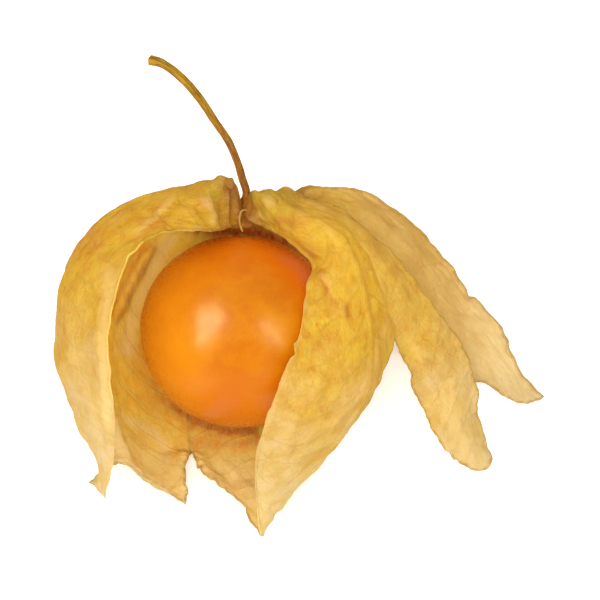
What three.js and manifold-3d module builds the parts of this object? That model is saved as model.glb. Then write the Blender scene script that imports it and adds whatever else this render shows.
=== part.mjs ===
// A ripe physalis (cape gooseberry), as picked: an orange berry in its dry, papery husk, which has
// been torn open from its mouth back to the stalk. Millimetres, +Z up. The fruit lies on its side on
// the plane z = 0, with the stalk towards +Y, the tips of the husk towards -Y and the tear on top.
// The origin is the bottom centre of the whole fruit's box.
import * as THREE from 'three';
import { mergeVertices } from 'three/addons/utils/BufferGeometryUtils.js';
import Module from 'manifold-3d';

// ---- driving dimensions, in millimetres ----

// The berry is a slightly flattened globe. Its axis runs up and back to where the stalk joins.
const BERRY_EQUATOR_RADIUS = 10.4;
const BERRY_POLE_RADIUS = 10.07;
const BERRY_CENTRE = [0, 0, 11.12];
const BERRY_AXIS = [0, 0.786, 0.618];
const BERRY_DIMPLE_DEPTH = 0.35; // round the stalk end
const BERRY_DIMPLE_RADIUS = 1.9;
const BERRY_SCAR_HEIGHT = 0.12; // the style scar at the far end
const BERRY_SEGMENTS_ROUND = 36;
const BERRY_SEGMENTS_ALONG = 22;

// The husk is a sheet. It keeps its own thickness everywhere and rests flat where it meets z = 0.
const HUSK_THICKNESS = 0.5;
const HUSK_FLAT_BELOW = 0.55; // the sheet's middle is pressed flat where it would lie lower than this
const HUSK_FLAT_BLEND = 1.5; // and is left alone above this
const SPLITS_ALONG = 2; // facets between two stations of a meridian
const SPLITS_ROUND = 2; // facets between two neighbouring meridians

// Where the stalk meets the husk, and the husk's own axis from its tips to the stalk.
const STALK_JOINT = [0, 9.42, 18.9];
const HUSK_AXIS = [0, 0.9422, 0.335];

// The stalk: a thin ridged stem that leaves the dimple, arches over and ends in a plain cut.
const STALK_RADIUS = 0.46;
const STALK_RIDGES = 5;
const STALK_RIDGE_HEIGHT = 0.05;
const STALK_STEPS = 34;
const STALK_ROUTE = [
  [0.00, 8.71, 18.34],
  [0.00, 9.89, 19.27],
  [0.67, 10.42, 20.66],
  [0.21, 12.18, 21.35],
  [-0.25, 13.91, 21.76],
  [-1.18, 16.70, 21.88],
  [-2.64, 19.67, 21.76],
  [-4.49, 23.49, 21.58],
  [-6.69, 26.77, 21.45],
  [-8.54, 28.67, 21.22],
  [-9.66, 29.32, 20.98],
];
// The receptacle between stalk and berry, as [radius, height along the berry's axis from the joint].
const RECEPTACLE = [
  [0, -1.62],
  [1.35, -1.62],
  [1.5, -1.4],
  [1.15, -0.95],
  [0.7, -0.45],
  [0.58, 0.3],
  [0.4, 0.9],
  [0, 0.9],
];

// Moves the fruit so that the origin is the bottom centre of its box.
const FRAME_SHIFT = [-6.53, -2.87, 0];

// ---- the husk's meridians ----
// Five sepals grew together into the husk. Each lobe below is a run of meridians, clockwise as seen
// from the tips, starting at the open tear. Each meridian runs from the stalk (station 0) to the
// lobe's tip (station 1). Neighbouring lobes share a seam from the stalk as far as the tear between
// them, which is where TORN_FROM says.
const STATIONS = [0, 0.03, 0.07, 0.11, 0.16, 0.22, 0.29, 0.36, 0.43, 0.5, 0.56, 0.63, 0.7, 0.77, 0.84, 0.9, 0.95, 1];
const TORN_FROM = [0.56, 0.11, 0.36, 0.7, 0.84]; // between each lobe and the next
const LOBES = [
  {
    lobe: 'right_lobe',
    meridians: [
      [[0.15, 9.11, 19.78], [0.52, 8.21, 20.11], [1.46, 6.85, 20.65], [2.8, 5.5, 21.18], [4.55, 4.35, 21.41], [6.47, 2.98, 20.81], [7.78, 1.24, 19.84], [7.1, -1.71, 19.48], [6.65, -4.25, 18.94], [6.07, -6.54, 17.75], [5.26, -8.05, 16.66], [4.37, -9.49, 14.81], [3.61, -10.89, 12.72], [2.72, -12.63, 11.19], [1.91, -15.21, 10.31], [1.69, -18.12, 9.46], [1.86, -21.04, 8.6], [2.23, -23.87, 7.42]],
      [[0.32, 9.12, 19.74], [0.65, 9.16, 20.82], [1.11, 8.84, 22.33], [1.55, 7.82, 23.71], [4.79, 4.01, 22.98], [7.05, 2.45, 22.59], [8.76, 0.89, 21.67], [8.99, -1.76, 20.62], [8.75, -4.36, 19.09], [8.37, -6.78, 17.32], [7.83, -8.67, 15.86], [6.94, -10.7, 14.03], [5.75, -12.67, 12.12], [4.49, -14.73, 10.65], [3.4, -17.27, 9.7], [2.8, -19.74, 8.97], [2.51, -21.9, 8.24], [2.3, -23.83, 7.32]],
      [[0.47, 9.14, 19.68], [0.99, 9.27, 20.81], [1.77, 8.88, 22.24], [2.41, 8.12, 23.77], [5.2, 4.17, 23.89], [7.63, 2.83, 23.56], [9.64, 1.35, 22.71], [10.63, -1.06, 21.33], [11, -3.69, 19.52], [11.01, -6.14, 17.34], [10.67, -8.1, 15.43], [10.05, -10.05, 13.14], [8.57, -12.29, 11], [6.79, -14.73, 9.73], [5.29, -17.32, 9], [4.08, -19.73, 8.44], [3.18, -21.78, 7.91], [2.35, -23.8, 7.22]],
      [[0.61, 9.18, 19.59], [1.29, 9.38, 20.64], [2.35, 8.97, 21.98], [3.21, 8.4, 23.6], [5.61, 4.95, 24.16], [8.25, 3.66, 23.86], [10.5, 2.17, 23.13], [11.94, 0.12, 21.68], [12.89, -2.1, 19.55], [13.45, -4.14, 16.8], [13.54, -5.8, 14.23], [13.26, -7.73, 11.56], [12, -10.12, 9.56], [9.94, -12.7, 8.44], [7.46, -15.91, 8.09], [5.45, -18.79, 7.92], [3.86, -21.27, 7.7], [2.4, -23.76, 7.12]],
      [[0.73, 9.22, 19.48], [1.56, 9.47, 20.41], [2.88, 9.27, 21.63], [4.01, 8.81, 23.25], [5.92, 6.18, 23.76], [8.8, 4.8, 23.64], [11.26, 3.4, 22.86], [12.91, 1.73, 21.33], [14.15, -0.03, 18.94], [15.22, -1.12, 15.54], [15.95, -1.72, 12.04], [14.3, -4.06, 7.85], [12.57, -7.23, 6.5], [10.13, -10.47, 6.13], [7.53, -14.19, 6.4], [5.55, -17.52, 6.96], [3.87, -20.59, 7.29], [2.46, -23.73, 7.02]],
    ],
  },
  {
    lobe: 'torn_strip',
    meridians: [
      [[0.73, 9.22, 19.48], [1.56, 9.47, 20.41], [2.88, 9.62, 21.92], [4.01, 9.15, 23.54], [5.92, 6.27, 23.83], [8.8, 4.8, 23.64], [11.26, 3.4, 22.86], [12.91, 1.73, 21.33], [14.15, -0.03, 18.94], [15.22, -1.12, 15.54], [15.95, -1.72, 12.04], [17.4, -2.78, 8.62], [17.99, -3.75, 5.82], [19.61, -4.13, 2.2], [20.81, -6.22, 1], [22.21, -8.06, 0.58], [23.34, -9.27, 0.46], [24.5, -9.87, 0.45]],
      [[0.83, 9.27, 19.33], [1.82, 9.59, 20.07], [3.35, 9.82, 21.35], [4.81, 9.39, 22.87], [6.47, 7.4, 23.22], [9.35, 6.14, 22.94], [11.97, 4.78, 22.19], [13.68, 3.45, 20.95], [15.42, 2.06, 18.87], [17.07, 0.84, 15.88], [18.5, 0.06, 12.61], [19.94, -0.76, 9.19], [20.83, -1.69, 6.19], [21.68, -2.38, 3.26], [22.54, -3.98, 1.5], [23.28, -5.95, 1], [24.35, -8.01, 0.9], [25.86, -9.65, 0.5]],
      [[0.9, 9.32, 19.18], [1.99, 9.71, 19.73], [3.71, 10.05, 20.71], [5.47, 9.67, 22.08], [7.05, 8.41, 22.23], [9.64, 7.35, 21.87], [12.15, 6.01, 21.01], [14.06, 4.88, 19.77], [16.18, 3.99, 18.05], [18.14, 3.1, 15.69], [19.66, 2.37, 13.21], [21.52, 1.93, 10.14], [23.16, 1.33, 6.94], [24.19, 0.64, 3.88], [24.81, -0.42, 1.36], [25.11, -2.66, 0.54], [25.8, -5.56, 0.44], [26.45, -8.41, 0.5]],
    ],
  },
  {
    lobe: 'back_right_lobe',
    meridians: [
      [[0.9, 9.32, 19.18], [1.99, 9.71, 19.73], [3.71, 10.05, 20.71], [5.47, 9.67, 22.08], [7.6, 11.3, 20.9], [10.17, 12.87, 18.95], [12.42, 13.18, 18.08], [14.92, 12.51, 17.09], [17.21, 11.7, 15.76], [18.81, 11.04, 14.36], [20.3, 10.23, 12.9], [21.97, 9.36, 11.06], [23.37, 8, 9.25], [25.01, 7.06, 7.5], [27.24, 5.55, 5.33], [28.27, 4.13, 3.56], [29.4, 2.31, 1.82], [32.1, -0.01, 0.6]],
      [[0.95, 9.42, 18.9], [2.1, 9.88, 19.1], [3.99, 10.39, 19.47], [6.07, 10.34, 19.9], [8.55, 11.8, 18.39], [11.58, 13.35, 16.05], [14, 13.74, 14.29], [15.99, 13.13, 12.59], [17.85, 12.78, 11.02], [18.96, 11.94, 9.88], [20.04, 10.8, 8.88], [21.46, 9.59, 7.58], [22.93, 8.03, 6.27], [24.93, 6.83, 5.06], [27.22, 5.06, 3.53], [28.46, 3.52, 2.41], [29.7, 1.84, 1.25], [32.04, 0, 0.5]],
      [[0.9, 9.52, 18.62], [2.01, 10.1, 18.49], [3.83, 10.85, 18.17], [5.77, 11.01, 17.71], [8.34, 12.14, 16.07], [11.3, 13.38, 13.45], [13.64, 13.59, 11.01], [15.26, 12.76, 8.85], [17.2, 12.65, 7.23], [18.36, 11.63, 6.35], [19.43, 10.27, 5.72], [20.91, 8.82, 4.86], [22.6, 7.21, 3.94], [24.95, 5.89, 3.13], [27.25, 4.08, 2.13], [28.69, 2.51, 1.5], [29.99, 1.16, 0.84], [31.98, -0.05, 0.45]],
      [[0.77, 9.61, 18.37], [1.7, 10.3, 17.9], [3.24, 11.24, 17.05], [4.79, 11.67, 15.87], [6.99, 12.34, 13.96], [9.31, 12.96, 11.15], [11.33, 12.75, 8.22], [12.73, 11.38, 5.85], [15.25, 11.33, 4.39], [17.01, 10.13, 3.77], [18.47, 8.64, 3.4], [20.3, 7.05, 2.88], [22.36, 5.54, 2.26], [25.07, 4.26, 1.69], [27.33, 2.6, 1.13], [28.98, 1.1, 0.84], [30.29, 0.28, 0.57], [31.91, -0.14, 0.45]],
      [[0.56, 9.68, 18.18], [1.23, 10.46, 17.47], [2.29, 11.55, 16.18], [3.27, 12.14, 14.53], [4.48, 12.39, 12.04], [5.62, 12.09, 9.14], [7.07, 11.21, 5.93], [8.4, 9, 3.6], [12, 8.8, 2.5], [14.91, 7.43, 2.14], [17.16, 5.91, 1.94], [19.64, 4.28, 1.65], [22.23, 3.03, 1.23], [25.29, 1.92, 0.75], [27.46, 0.62, 0.53], [29.32, -0.71, 0.44], [30.58, -0.79, 0.46], [31.85, -0.29, 0.5]],
    ],
  },
  {
    lobe: 'under_right_tooth',
    meridians: [
      [[0.56, 9.68, 18.18], [1.23, 10.46, 17.47], [2.29, 11.55, 16.18], [3.27, 12.14, 14.53], [4.48, 12.39, 12.04], [5.62, 12.09, 9.14], [7.07, 11.21, 5.93], [8.4, 9, 3.6], [9.3, 6, 2.2], [9.76, 2.73, 1.52], [9.72, -0.02, 1.25], [9.2, -3.14, 1.2], [8.24, -6.11, 1.33], [6.89, -9.3, 1.56], [5.37, -12.9, 2.14], [4.09, -16.41, 3.11], [3.22, -19.36, 4.17], [2.48, -22.33, 5.4]],
      [[0.29, 9.72, 18.05], [0.65, 10.56, 17.19], [1.17, 11.74, 15.66], [1.65, 12.39, 13.83], [2.23, 12.67, 11.24], [2.72, 12.04, 8.29], [3.37, 10.47, 5.16], [4.05, 8.01, 2.35], [4.68, 4.97, 0.41], [5.11, 1.88, 0.45], [5.33, -0.76, 0.49], [5.4, -3.84, 0.51], [5.28, -6.91, 0.63], [4.85, -10.04, 0.89], [4.22, -13.42, 1.59], [3.61, -16.65, 2.78], [3.03, -19.45, 3.98], [2.41, -22.34, 5.35]],
      [[0, 9.74, 18], [0, 10.59, 17.09], [0, 11.8, 15.5], [0, 12.37, 13.58], [0, 12.68, 10.93], [-0.01, 12.01, 8.1], [0.15, 10.29, 5.17], [0.37, 7.78, 2.36], [0.64, 4.76, 0.25], [1, 1.52, 0.26], [1.27, -1.17, 0.28], [1.54, -4.24, 0.28], [1.83, -7.31, 0.3], [2.02, -10.44, 0.54], [2.13, -13.83, 1.33], [2.19, -17.07, 2.66], [2.26, -19.71, 3.92], [2.34, -22.34, 5.3]],
      [[-0.29, 9.72, 18.05], [-0.65, 10.56, 17.19], [-1.17, 11.74, 15.66], [-1.7, 12.29, 13.81], [-2.37, 12.57, 11.24], [-2.81, 11.89, 8.44], [-2.95, 10.27, 5.45], [-2.83, 7.8, 2.49], [-2.57, 4.78, 0.24], [-2.36, 1.77, 0.3], [-2.18, -0.85, 0.32], [-1.97, -3.94, 0.31], [-1.7, -7.01, 0.41], [-1.33, -10.16, 0.83], [-0.63, -13.46, 1.73], [0.42, -16.46, 2.98], [1.33, -19.29, 4.12], [2.28, -22.34, 5.35]],
      [[-0.56, 9.68, 18.18], [-1.23, 10.46, 17.47], [-2.29, 11.55, 16.18], [-3.36, 12.03, 14.55], [-4.56, 12.24, 12.16], [-5.47, 11.64, 9.4], [-5.93, 10.1, 6.44], [-6.01, 7.79, 3.11], [-5.88, 5.01, 0.31], [-5.66, 2.25, 0.39], [-5.52, -0.44, 0.34], [-5.37, -3.92, 0.35], [-5.1, -7.6, 1], [-4.22, -10.56, 1.61], [-2.12, -13.65, 2.63], [0, -16.24, 3.66], [1.11, -19.09, 4.47], [2.24, -22.37, 5.4]],
    ],
  },
  {
    lobe: 'under_left_tooth',
    meridians: [
      [[-0.56, 9.68, 18.18], [-1.23, 10.46, 17.47], [-2.29, 11.55, 16.18], [-3.36, 12.03, 14.55], [-4.56, 12.24, 12.16], [-5.47, 11.64, 9.4], [-5.93, 10.1, 6.44], [-6.01, 7.79, 3.11], [-5.88, 5.01, 0.31], [-5.66, 2.25, 0.39], [-5.52, -0.44, 0.34], [-5.36, -3.92, 0.35], [-5.1, -7.6, 1], [-5.75, -10.5, 2.1], [-5.62, -13.3, 3.58], [-5.53, -15.78, 4.95], [-5.48, -17.77, 5.99], [-5.45, -19.6, 6.9]],
      [[-0.77, 9.61, 18.37], [-1.7, 10.3, 17.9], [-3.22, 11.25, 17.03], [-4.79, 11.67, 15.87], [-6.78, 11.66, 14.08], [-8.63, 10.96, 11.85], [-10.16, 9.41, 9.23], [-11.02, 7.4, 6.58], [-11.16, 5.04, 4.08], [-10.41, 2.33, 2.03], [-9.89, -0.26, 1.02], [-9.44, -3.45, 0.55], [-9.1, -6.61, 0.49], [-8.74, -9.68, 0.82], [-8.21, -12.63, 1.76], [-7.52, -15.03, 3.21], [-6.89, -16.8, 4.84], [-6.21, -18.44, 6.76]],
      [[-0.9, 9.52, 18.62], [-1.99, 10.11, 18.44], [-3.78, 10.89, 18.04], [-5.6, 11.18, 17.24], [-7.92, 11.11, 15.93], [-10.12, 10.5, 13.94], [-11.85, 9.16, 11.43], [-12.92, 7.33, 8.88], [-13.47, 5.14, 6.43], [-13.61, 2.77, 4.27], [-13.42, 0.67, 2.88], [-12.93, -2.03, 1.77], [-12.38, -5.3, 1.15], [-11.68, -8.27, 1.24], [-10.85, -10.95, 1.98], [-10.04, -13.08, 3.09], [-9.3, -14.54, 4.25], [-8.5, -15.79, 5.58]],
      [[-0.95, 9.42, 18.9], [-2.1, 9.9, 19.03], [-4.03, 10.3, 18.97], [-5.97, 10.37, 18.56], [-8.41, 10.26, 17.64], [-11.04, 9.76, 16.12], [-13.04, 8.66, 13.9], [-14.25, 7.04, 11.56], [-14.83, 4.98, 9.25], [-15, 2.76, 7.2], [-14.83, 0.74, 5.75], [-14.35, -1.68, 4.54], [-13.91, -4.13, 3.99], [-12.95, -6.19, 4.3], [-12.57, -8.73, 4.48], [-12.65, -11.42, 4.19], [-11.68, -12.29, 4.99], [-10.96, -13.55, 5.38]],
      [[-0.9, 9.32, 19.18], [-2.01, 9.69, 19.65], [-3.94, 9.66, 19.87], [-5.85, 9.49, 19.94], [-8.33, 9.12, 19.57], [-11.19, 8.64, 18.74], [-13.74, 7.72, 17.07], [-15.46, 6.29, 15], [-16.44, 4.35, 12.71], [-16.49, 2.15, 10.45], [-16.36, 0.02, 8.89], [-15.82, -2.6, 7.56], [-15.01, -5.23, 6.74], [-14.65, -8.3, 6.19], [-14.69, -11.66, 5.65], [-13.23, -11.74, 6.04], [-13.44, -13.03, 5.19], [-12.91, -13, 5.18]],
    ],
  },
  {
    lobe: 'left_lobe',
    meridians: [
      [[-0.9, 9.32, 19.18], [-2.01, 9.69, 19.65], [-3.94, 9.66, 19.87], [-5.85, 9.49, 19.94], [-8.33, 9.12, 19.57], [-11.19, 8.64, 18.74], [-13.74, 7.72, 17.07], [-15.46, 6.29, 15], [-16.44, 4.35, 12.71], [-16.49, 2.15, 10.45], [-16.36, 0.02, 8.89], [-15.82, -2.6, 7.56], [-15.01, -5.23, 6.74], [-14.49, -8.12, 6.15], [-14.69, -11.66, 5.65], [-14.33, -13.46, 5.71], [-14.63, -14.86, 5.84], [-15.49, -15.93, 5.98]],
      [[-0.77, 9.23, 19.43], [-1.37, 9.89, 20.22], [-2.68, 9.82, 21.2], [-4.81, 9.17, 21.57], [-7.62, 8.4, 21.99], [-10.48, 7.64, 21.86], [-13.41, 6.65, 21.11], [-15.74, 5.44, 19.62], [-17.47, 3.84, 17.57], [-18.25, 1.57, 15.33], [-18.61, -0.53, 13.67], [-18.54, -3.16, 12.05], [-18.01, -5.89, 10.83], [-17.17, -8.63, 10.06], [-15.72, -12.21, 8.46], [-14.34, -14.56, 7.79], [-14.4, -15.73, 7.07], [-15.05, -16.13, 5.56]],
      [[-0.56, 9.16, 19.62], [-0.67, 9.82, 20.93], [-1.59, 10.15, 22.39], [-3.74, 9.2, 23.42], [-6.23, 8.07, 24.26], [-8.85, 6.99, 24.67], [-11.73, 5.65, 24.53], [-14.18, 4.01, 23.63], [-16.18, 2.11, 22.21], [-17.71, -0.2, 20.41], [-18.36, -2.32, 18.84], [-18.55, -4.87, 17.16], [-18.38, -7.59, 15.79], [-17.51, -10.15, 14.4], [-16.15, -13.32, 11.84], [-14.49, -15.39, 9.84], [-14.18, -16.36, 7.98], [-14.67, -16.44, 5.3]],
      [[-0.36, 9.12, 19.73], [-0.11, 9.63, 21.56], [-0.48, 10.02, 23.06], [-1.94, 9.11, 24.52], [-3.92, 6.6, 25.15], [-6.06, 4.47, 25.85], [-8.98, 3.14, 25.86], [-11.27, 1.3, 25.59], [-13.13, -0.83, 24.97], [-14.78, -3.01, 23.89], [-15.68, -5.11, 22.69], [-16.17, -7.69, 21.17], [-16.04, -10.34, 19.72], [-15.4, -12.62, 18.18], [-14.86, -15.32, 15.12], [-13.83, -16.75, 12.35], [-13.82, -17.02, 8.99], [-14.24, -17.06, 5.43]],
      [[-0.13, 9.1, 19.79], [0.04, 8.36, 19.61], [-0.19, 7.19, 19.92], [-0.96, 5.84, 20.89], [-1.91, 4.43, 22.07], [-3.22, 2.96, 23.47], [-5.04, 1.5, 24.97], [-7.02, 0.52, 26.26], [-9.41, -1.29, 26.89], [-11.24, -4.22, 26.75], [-12.06, -7, 26], [-12.66, -10.29, 24.48], [-12.87, -12.86, 22.37], [-12.55, -15.04, 19.56], [-12.46, -16.54, 16.24], [-12.61, -17.14, 13.06], [-12.87, -17.39, 9.85], [-13.59, -17.87, 5.8]],
    ],
  },
];

// ---- curves ----

// A cubic through the points at the given stations, evaluated at x.
function alongSpline(stations, points, x) {
  const n = stations.length;
  const slope = (i) =>
    points[i].map((p, k) => (points[i + 1][k] - p) / (stations[i + 1] - stations[i]));
  const tangent = (i) => {
    if (i === 0) return slope(0).map((s, k) => 1.5 * s - 0.5 * tangent(1)[k]);
    if (i === n - 1) return slope(n - 2).map((s, k) => 1.5 * s - 0.5 * tangent(n - 2)[k]);
    const before = stations[i] - stations[i - 1];
    const after = stations[i + 1] - stations[i];
    const a = slope(i - 1);
    const b = slope(i);
    return a.map((s, k) => (s * after + b[k] * before) / (before + after));
  };
  let i = 0;
  while (i < n - 2 && x > stations[i + 1]) i += 1;
  const h = stations[i + 1] - stations[i];
  return hermite((x - stations[i]) / h, points[i], points[i + 1], scaled(tangent(i), h), scaled(tangent(i + 1), h));
}

const scaled = (v, f) => v.map((c) => c * f);
const plus = (a, b, f = 1) => a.map((c, k) => c + b[k] * f);
const smooth = (x) => {
  const t = Math.min(Math.max(x, 0), 1);
  return t * t * (3 - 2 * t);
};

function hermite(t, p0, p1, m0, m1) {
  const a = 2 * t ** 3 - 3 * t ** 2 + 1;
  const b = t ** 3 - 2 * t ** 2 + t;
  const c = -2 * t ** 3 + 3 * t ** 2;
  const d = t ** 3 - t ** 2;
  return p0.map((p, k) => a * p + b * m0[k] + c * p1[k] + d * m1[k]);
}

// ---- the husk ----

// Presses the sheet's middle flat where it lies on the surface.
function settled([x, y, z]) {
  const half = HUSK_THICKNESS / 2;
  if (z <= HUSK_FLAT_BELOW) return [x, y, half];
  if (z >= HUSK_FLAT_BLEND) return [x, y, z];
  const span = HUSK_FLAT_BLEND - HUSK_FLAT_BELOW;
  const t = (z - HUSK_FLAT_BELOW) / span;
  return [x, y, hermite(t, [half], [HUSK_FLAT_BLEND], [0], [span])[0]];
}

// The sheet's middle surface: shared points, and triangles that face outwards.
function huskMiddle() {
  const rows = [];
  for (let i = 0; i < STATIONS.length - 1; i += 1) {
    for (let j = 0; j < SPLITS_ALONG; j += 1) {
      rows.push(STATIONS[i] + ((STATIONS[i + 1] - STATIONS[i]) * j) / SPLITS_ALONG);
    }
  }
  rows.push(1);

  const lines = LOBES.map(({ meridians }) =>
    meridians.map((m) => rows.map((v) => alongSpline(STATIONS, m, v))),
  );
  for (let k = 1; k < lines.length; k += 1) {
    rows.forEach((v, r) => {
      if (v <= TORN_FROM[k - 1] + 1e-9) lines[k][0][r] = lines[k - 1].at(-1)[r];
    });
  }

  const points = [];
  const triangles = [];
  let seam = null;
  lines.forEach((lobe, k) => {
    const last = lobe.length - 1;
    const grid = rows.map((v, r) => {
      const at = (j) => lobe[j][r];
      const tangents = lobe.map((_, j) =>
        j > 0 && j < last ? scaled(plus(at(j + 1), at(j - 1), -1), 0.5) : null,
      );
      tangents[0] = plus(scaled(plus(at(1), at(0), -1), 1.5), tangents[1], -0.5);
      tangents[last] = plus(scaled(plus(at(last), at(last - 1), -1), 1.5), tangents[last - 1], -0.5);
      // Where two lobes are still joined, the sheet runs smoothly across their seam.
      if (k > 0) {
        const f = 1 - smooth((v - TORN_FROM[k - 1]) / 0.08);
        const across = scaled(plus(at(1), lines[k - 1].at(-2)[r], -1), 0.5);
        tangents[0] = plus(scaled(tangents[0], 1 - f), across, f);
      }
      if (k < lines.length - 1) {
        const f = 1 - smooth((v - TORN_FROM[k]) / 0.08);
        const across = scaled(plus(lines[k + 1][1][r], at(last - 1), -1), 0.5);
        tangents[last] = plus(scaled(tangents[last], 1 - f), across, f);
      }
      const row = [];
      for (let j = 0; j < last; j += 1) {
        for (let i = 0; i < SPLITS_ROUND; i += 1) {
          row.push(hermite(i / SPLITS_ROUND, at(j), at(j + 1), tangents[j], tangents[j + 1]));
        }
      }
      row.push(at(last));
      return row;
    });
    const ids = grid.map((row, r) =>
      row.map((p, c) => {
        if (c === 0 && k > 0 && rows[r] <= TORN_FROM[k - 1] + 1e-9) return seam[r];
        points.push(settled(p));
        return points.length - 1;
      }),
    );
    for (let r = 0; r < ids.length - 1; r += 1) {
      for (let c = 0; c < ids[r].length - 1; c += 1) {
        const [a, b, d, e] = [ids[r][c], ids[r][c + 1], ids[r + 1][c + 1], ids[r + 1][c]];
        triangles.push([a, e, d], [a, d, b]);
      }
    }
    seam = ids.map((row) => row.at(-1));
  });
  return { points, triangles };
}

// Gives an open sheet its thickness: an outer face, an inner face and a wall along every edge.
function thickened({ points, triangles }, thickness) {
  const normals = points.map(() => new THREE.Vector3());
  const v = points.map((p) => new THREE.Vector3(...p));
  for (const [a, b, c] of triangles) {
    const n = v[b].clone().sub(v[a]).cross(v[c].clone().sub(v[a]));
    for (const i of [a, b, c]) normals[i].add(n);
  }
  const half = thickness / 2;
  const position = [];
  for (const side of [1, -1]) {
    v.forEach((p, i) => {
      const n = normals[i].clone().normalize();
      const q = p.clone().addScaledVector(n, side * half);
      const lies = p.z <= half + 1e-9;
      if (lies) q.z = side * n.z < 0 ? 0 : thickness;
      position.push(q.x, q.y, Math.max(q.z, 0));
    });
  }
  const count = points.length;
  const index = [];
  const edges = new Map();
  for (const [a, b, c] of triangles) {
    index.push(a, b, c, count + a, count + c, count + b);
    for (const [p, q] of [[a, b], [b, c], [c, a]]) edges.set(`${p},${q}`, [p, q]);
  }
  for (const [p, q] of edges.values()) {
    if (!edges.has(`${q},${p}`)) index.push(q, p, count + p, q, count + p, count + q);
  }
  const geometry = new THREE.BufferGeometry();
  geometry.setAttribute('position', new THREE.Float32BufferAttribute(position, 3));
  geometry.setIndex(index);
  geometry.computeVertexNormals();
  return geometry;
}

// ---- the berry ----

function berryGeometry() {
  const profile = [];
  for (let i = 0; i <= BERRY_SEGMENTS_ALONG; i += 1) {
    const t = Math.PI * (1 - i / BERRY_SEGMENTS_ALONG);
    const r = i === 0 || i === BERRY_SEGMENTS_ALONG ? 0 : BERRY_EQUATOR_RADIUS * Math.sin(t);
    const dimple = BERRY_DIMPLE_DEPTH * Math.exp(-((r / BERRY_DIMPLE_RADIUS) ** 2));
    const scar = BERRY_SCAR_HEIGHT * Math.exp(-((r / 0.6) ** 2));
    const y = BERRY_POLE_RADIUS * Math.cos(t) + (Math.cos(t) > 0 ? -dimple : scar);
    profile.push(new THREE.Vector2(r, y));
  }
  return new THREE.LatheGeometry(profile, BERRY_SEGMENTS_ROUND);
}

// ---- the stalk ----

const wasm = await Module();
wasm.setup();

function solidOf(geometry) {
  const bare = geometry.clone();
  bare.deleteAttribute('normal');
  bare.deleteAttribute('uv');
  const merged = mergeVertices(bare, 1e-4);
  const source = merged.index.array;
  const triangles = [];
  for (let i = 0; i < source.length; i += 3) {
    const [a, b, c] = source.slice(i, i + 3);
    if (a !== b && b !== c && c !== a) triangles.push(a, b, c);
  }
  return new wasm.Manifold(
    new wasm.Mesh({
      numProp: 3,
      vertProperties: new Float32Array(merged.attributes.position.array),
      triVerts: new Uint32Array(triangles),
    }),
  );
}

function geometryOf(solid) {
  const { vertProperties, triVerts } = solid.getMesh();
  const geometry = new THREE.BufferGeometry();
  geometry.setAttribute('position', new THREE.Float32BufferAttribute(vertProperties, 3));
  geometry.setIndex([...triVerts]);
  geometry.computeVertexNormals();
  return geometry;
}

function stalkGeometry() {
  const section = new THREE.Shape();
  const sides = STALK_RIDGES * 2;
  for (let i = 0; i < sides; i += 1) {
    const angle = (2 * Math.PI * i) / sides;
    const radius = STALK_RADIUS + (i % 2 ? -STALK_RIDGE_HEIGHT : STALK_RIDGE_HEIGHT);
    const [x, y] = [radius * Math.cos(angle), radius * Math.sin(angle)];
    if (i === 0) section.moveTo(x, y);
    else section.lineTo(x, y);
  }
  section.closePath();
  const route = new THREE.CatmullRomCurve3(STALK_ROUTE.map((p) => new THREE.Vector3(...p)));
  const stem = new THREE.ExtrudeGeometry(section, {
    steps: STALK_STEPS,
    extrudePath: route,
    bevelEnabled: false,
    curveSegments: 1,
  });

  const receptacle = new THREE.LatheGeometry(
    RECEPTACLE.map(([r, y]) => new THREE.Vector2(r, y)),
    20,
  );
  receptacle.applyQuaternion(
    new THREE.Quaternion().setFromUnitVectors(
      new THREE.Vector3(0, 1, 0),
      new THREE.Vector3(...BERRY_AXIS).normalize(),
    ),
  );
  receptacle.translate(...STALK_JOINT);
  return geometryOf(solidOf(stem).add(solidOf(receptacle)));
}

// ---- the fruit ----

const fruit = new THREE.Group();
fruit.name = 'physalis';
fruit.position.set(...FRAME_SHIFT);

const berry = new THREE.Mesh(
  berryGeometry(),
  new THREE.MeshStandardMaterial({ color: 0xe8821a, roughness: 0.32, metalness: 0 }),
);
berry.name = 'berry';
berry.position.set(...BERRY_CENTRE);
berry.quaternion.setFromUnitVectors(
  new THREE.Vector3(0, 1, 0),
  new THREE.Vector3(...BERRY_AXIS).normalize(),
);
fruit.add(berry);

const husk = new THREE.Mesh(
  thickened(huskMiddle(), HUSK_THICKNESS),
  new THREE.MeshStandardMaterial({ color: 0xe3b44b, roughness: 0.8, metalness: 0, side: THREE.DoubleSide }),
);
husk.name = 'husk';
fruit.add(husk);

const stem = new THREE.Mesh(
  stalkGeometry(),
  new THREE.MeshStandardMaterial({ color: 0xa8722c, roughness: 0.75, metalness: 0 }),
);
stem.name = 'stem';
fruit.add(stem);

export default fruit;
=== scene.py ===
# Physalis berry in its opened husk: the looks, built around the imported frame.
# Everything is in metres in the frame's own axes; the net below is in millimetres.
import math

import bpy
import numpy as np
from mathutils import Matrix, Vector
from mathutils.kdtree import KDTree


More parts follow.
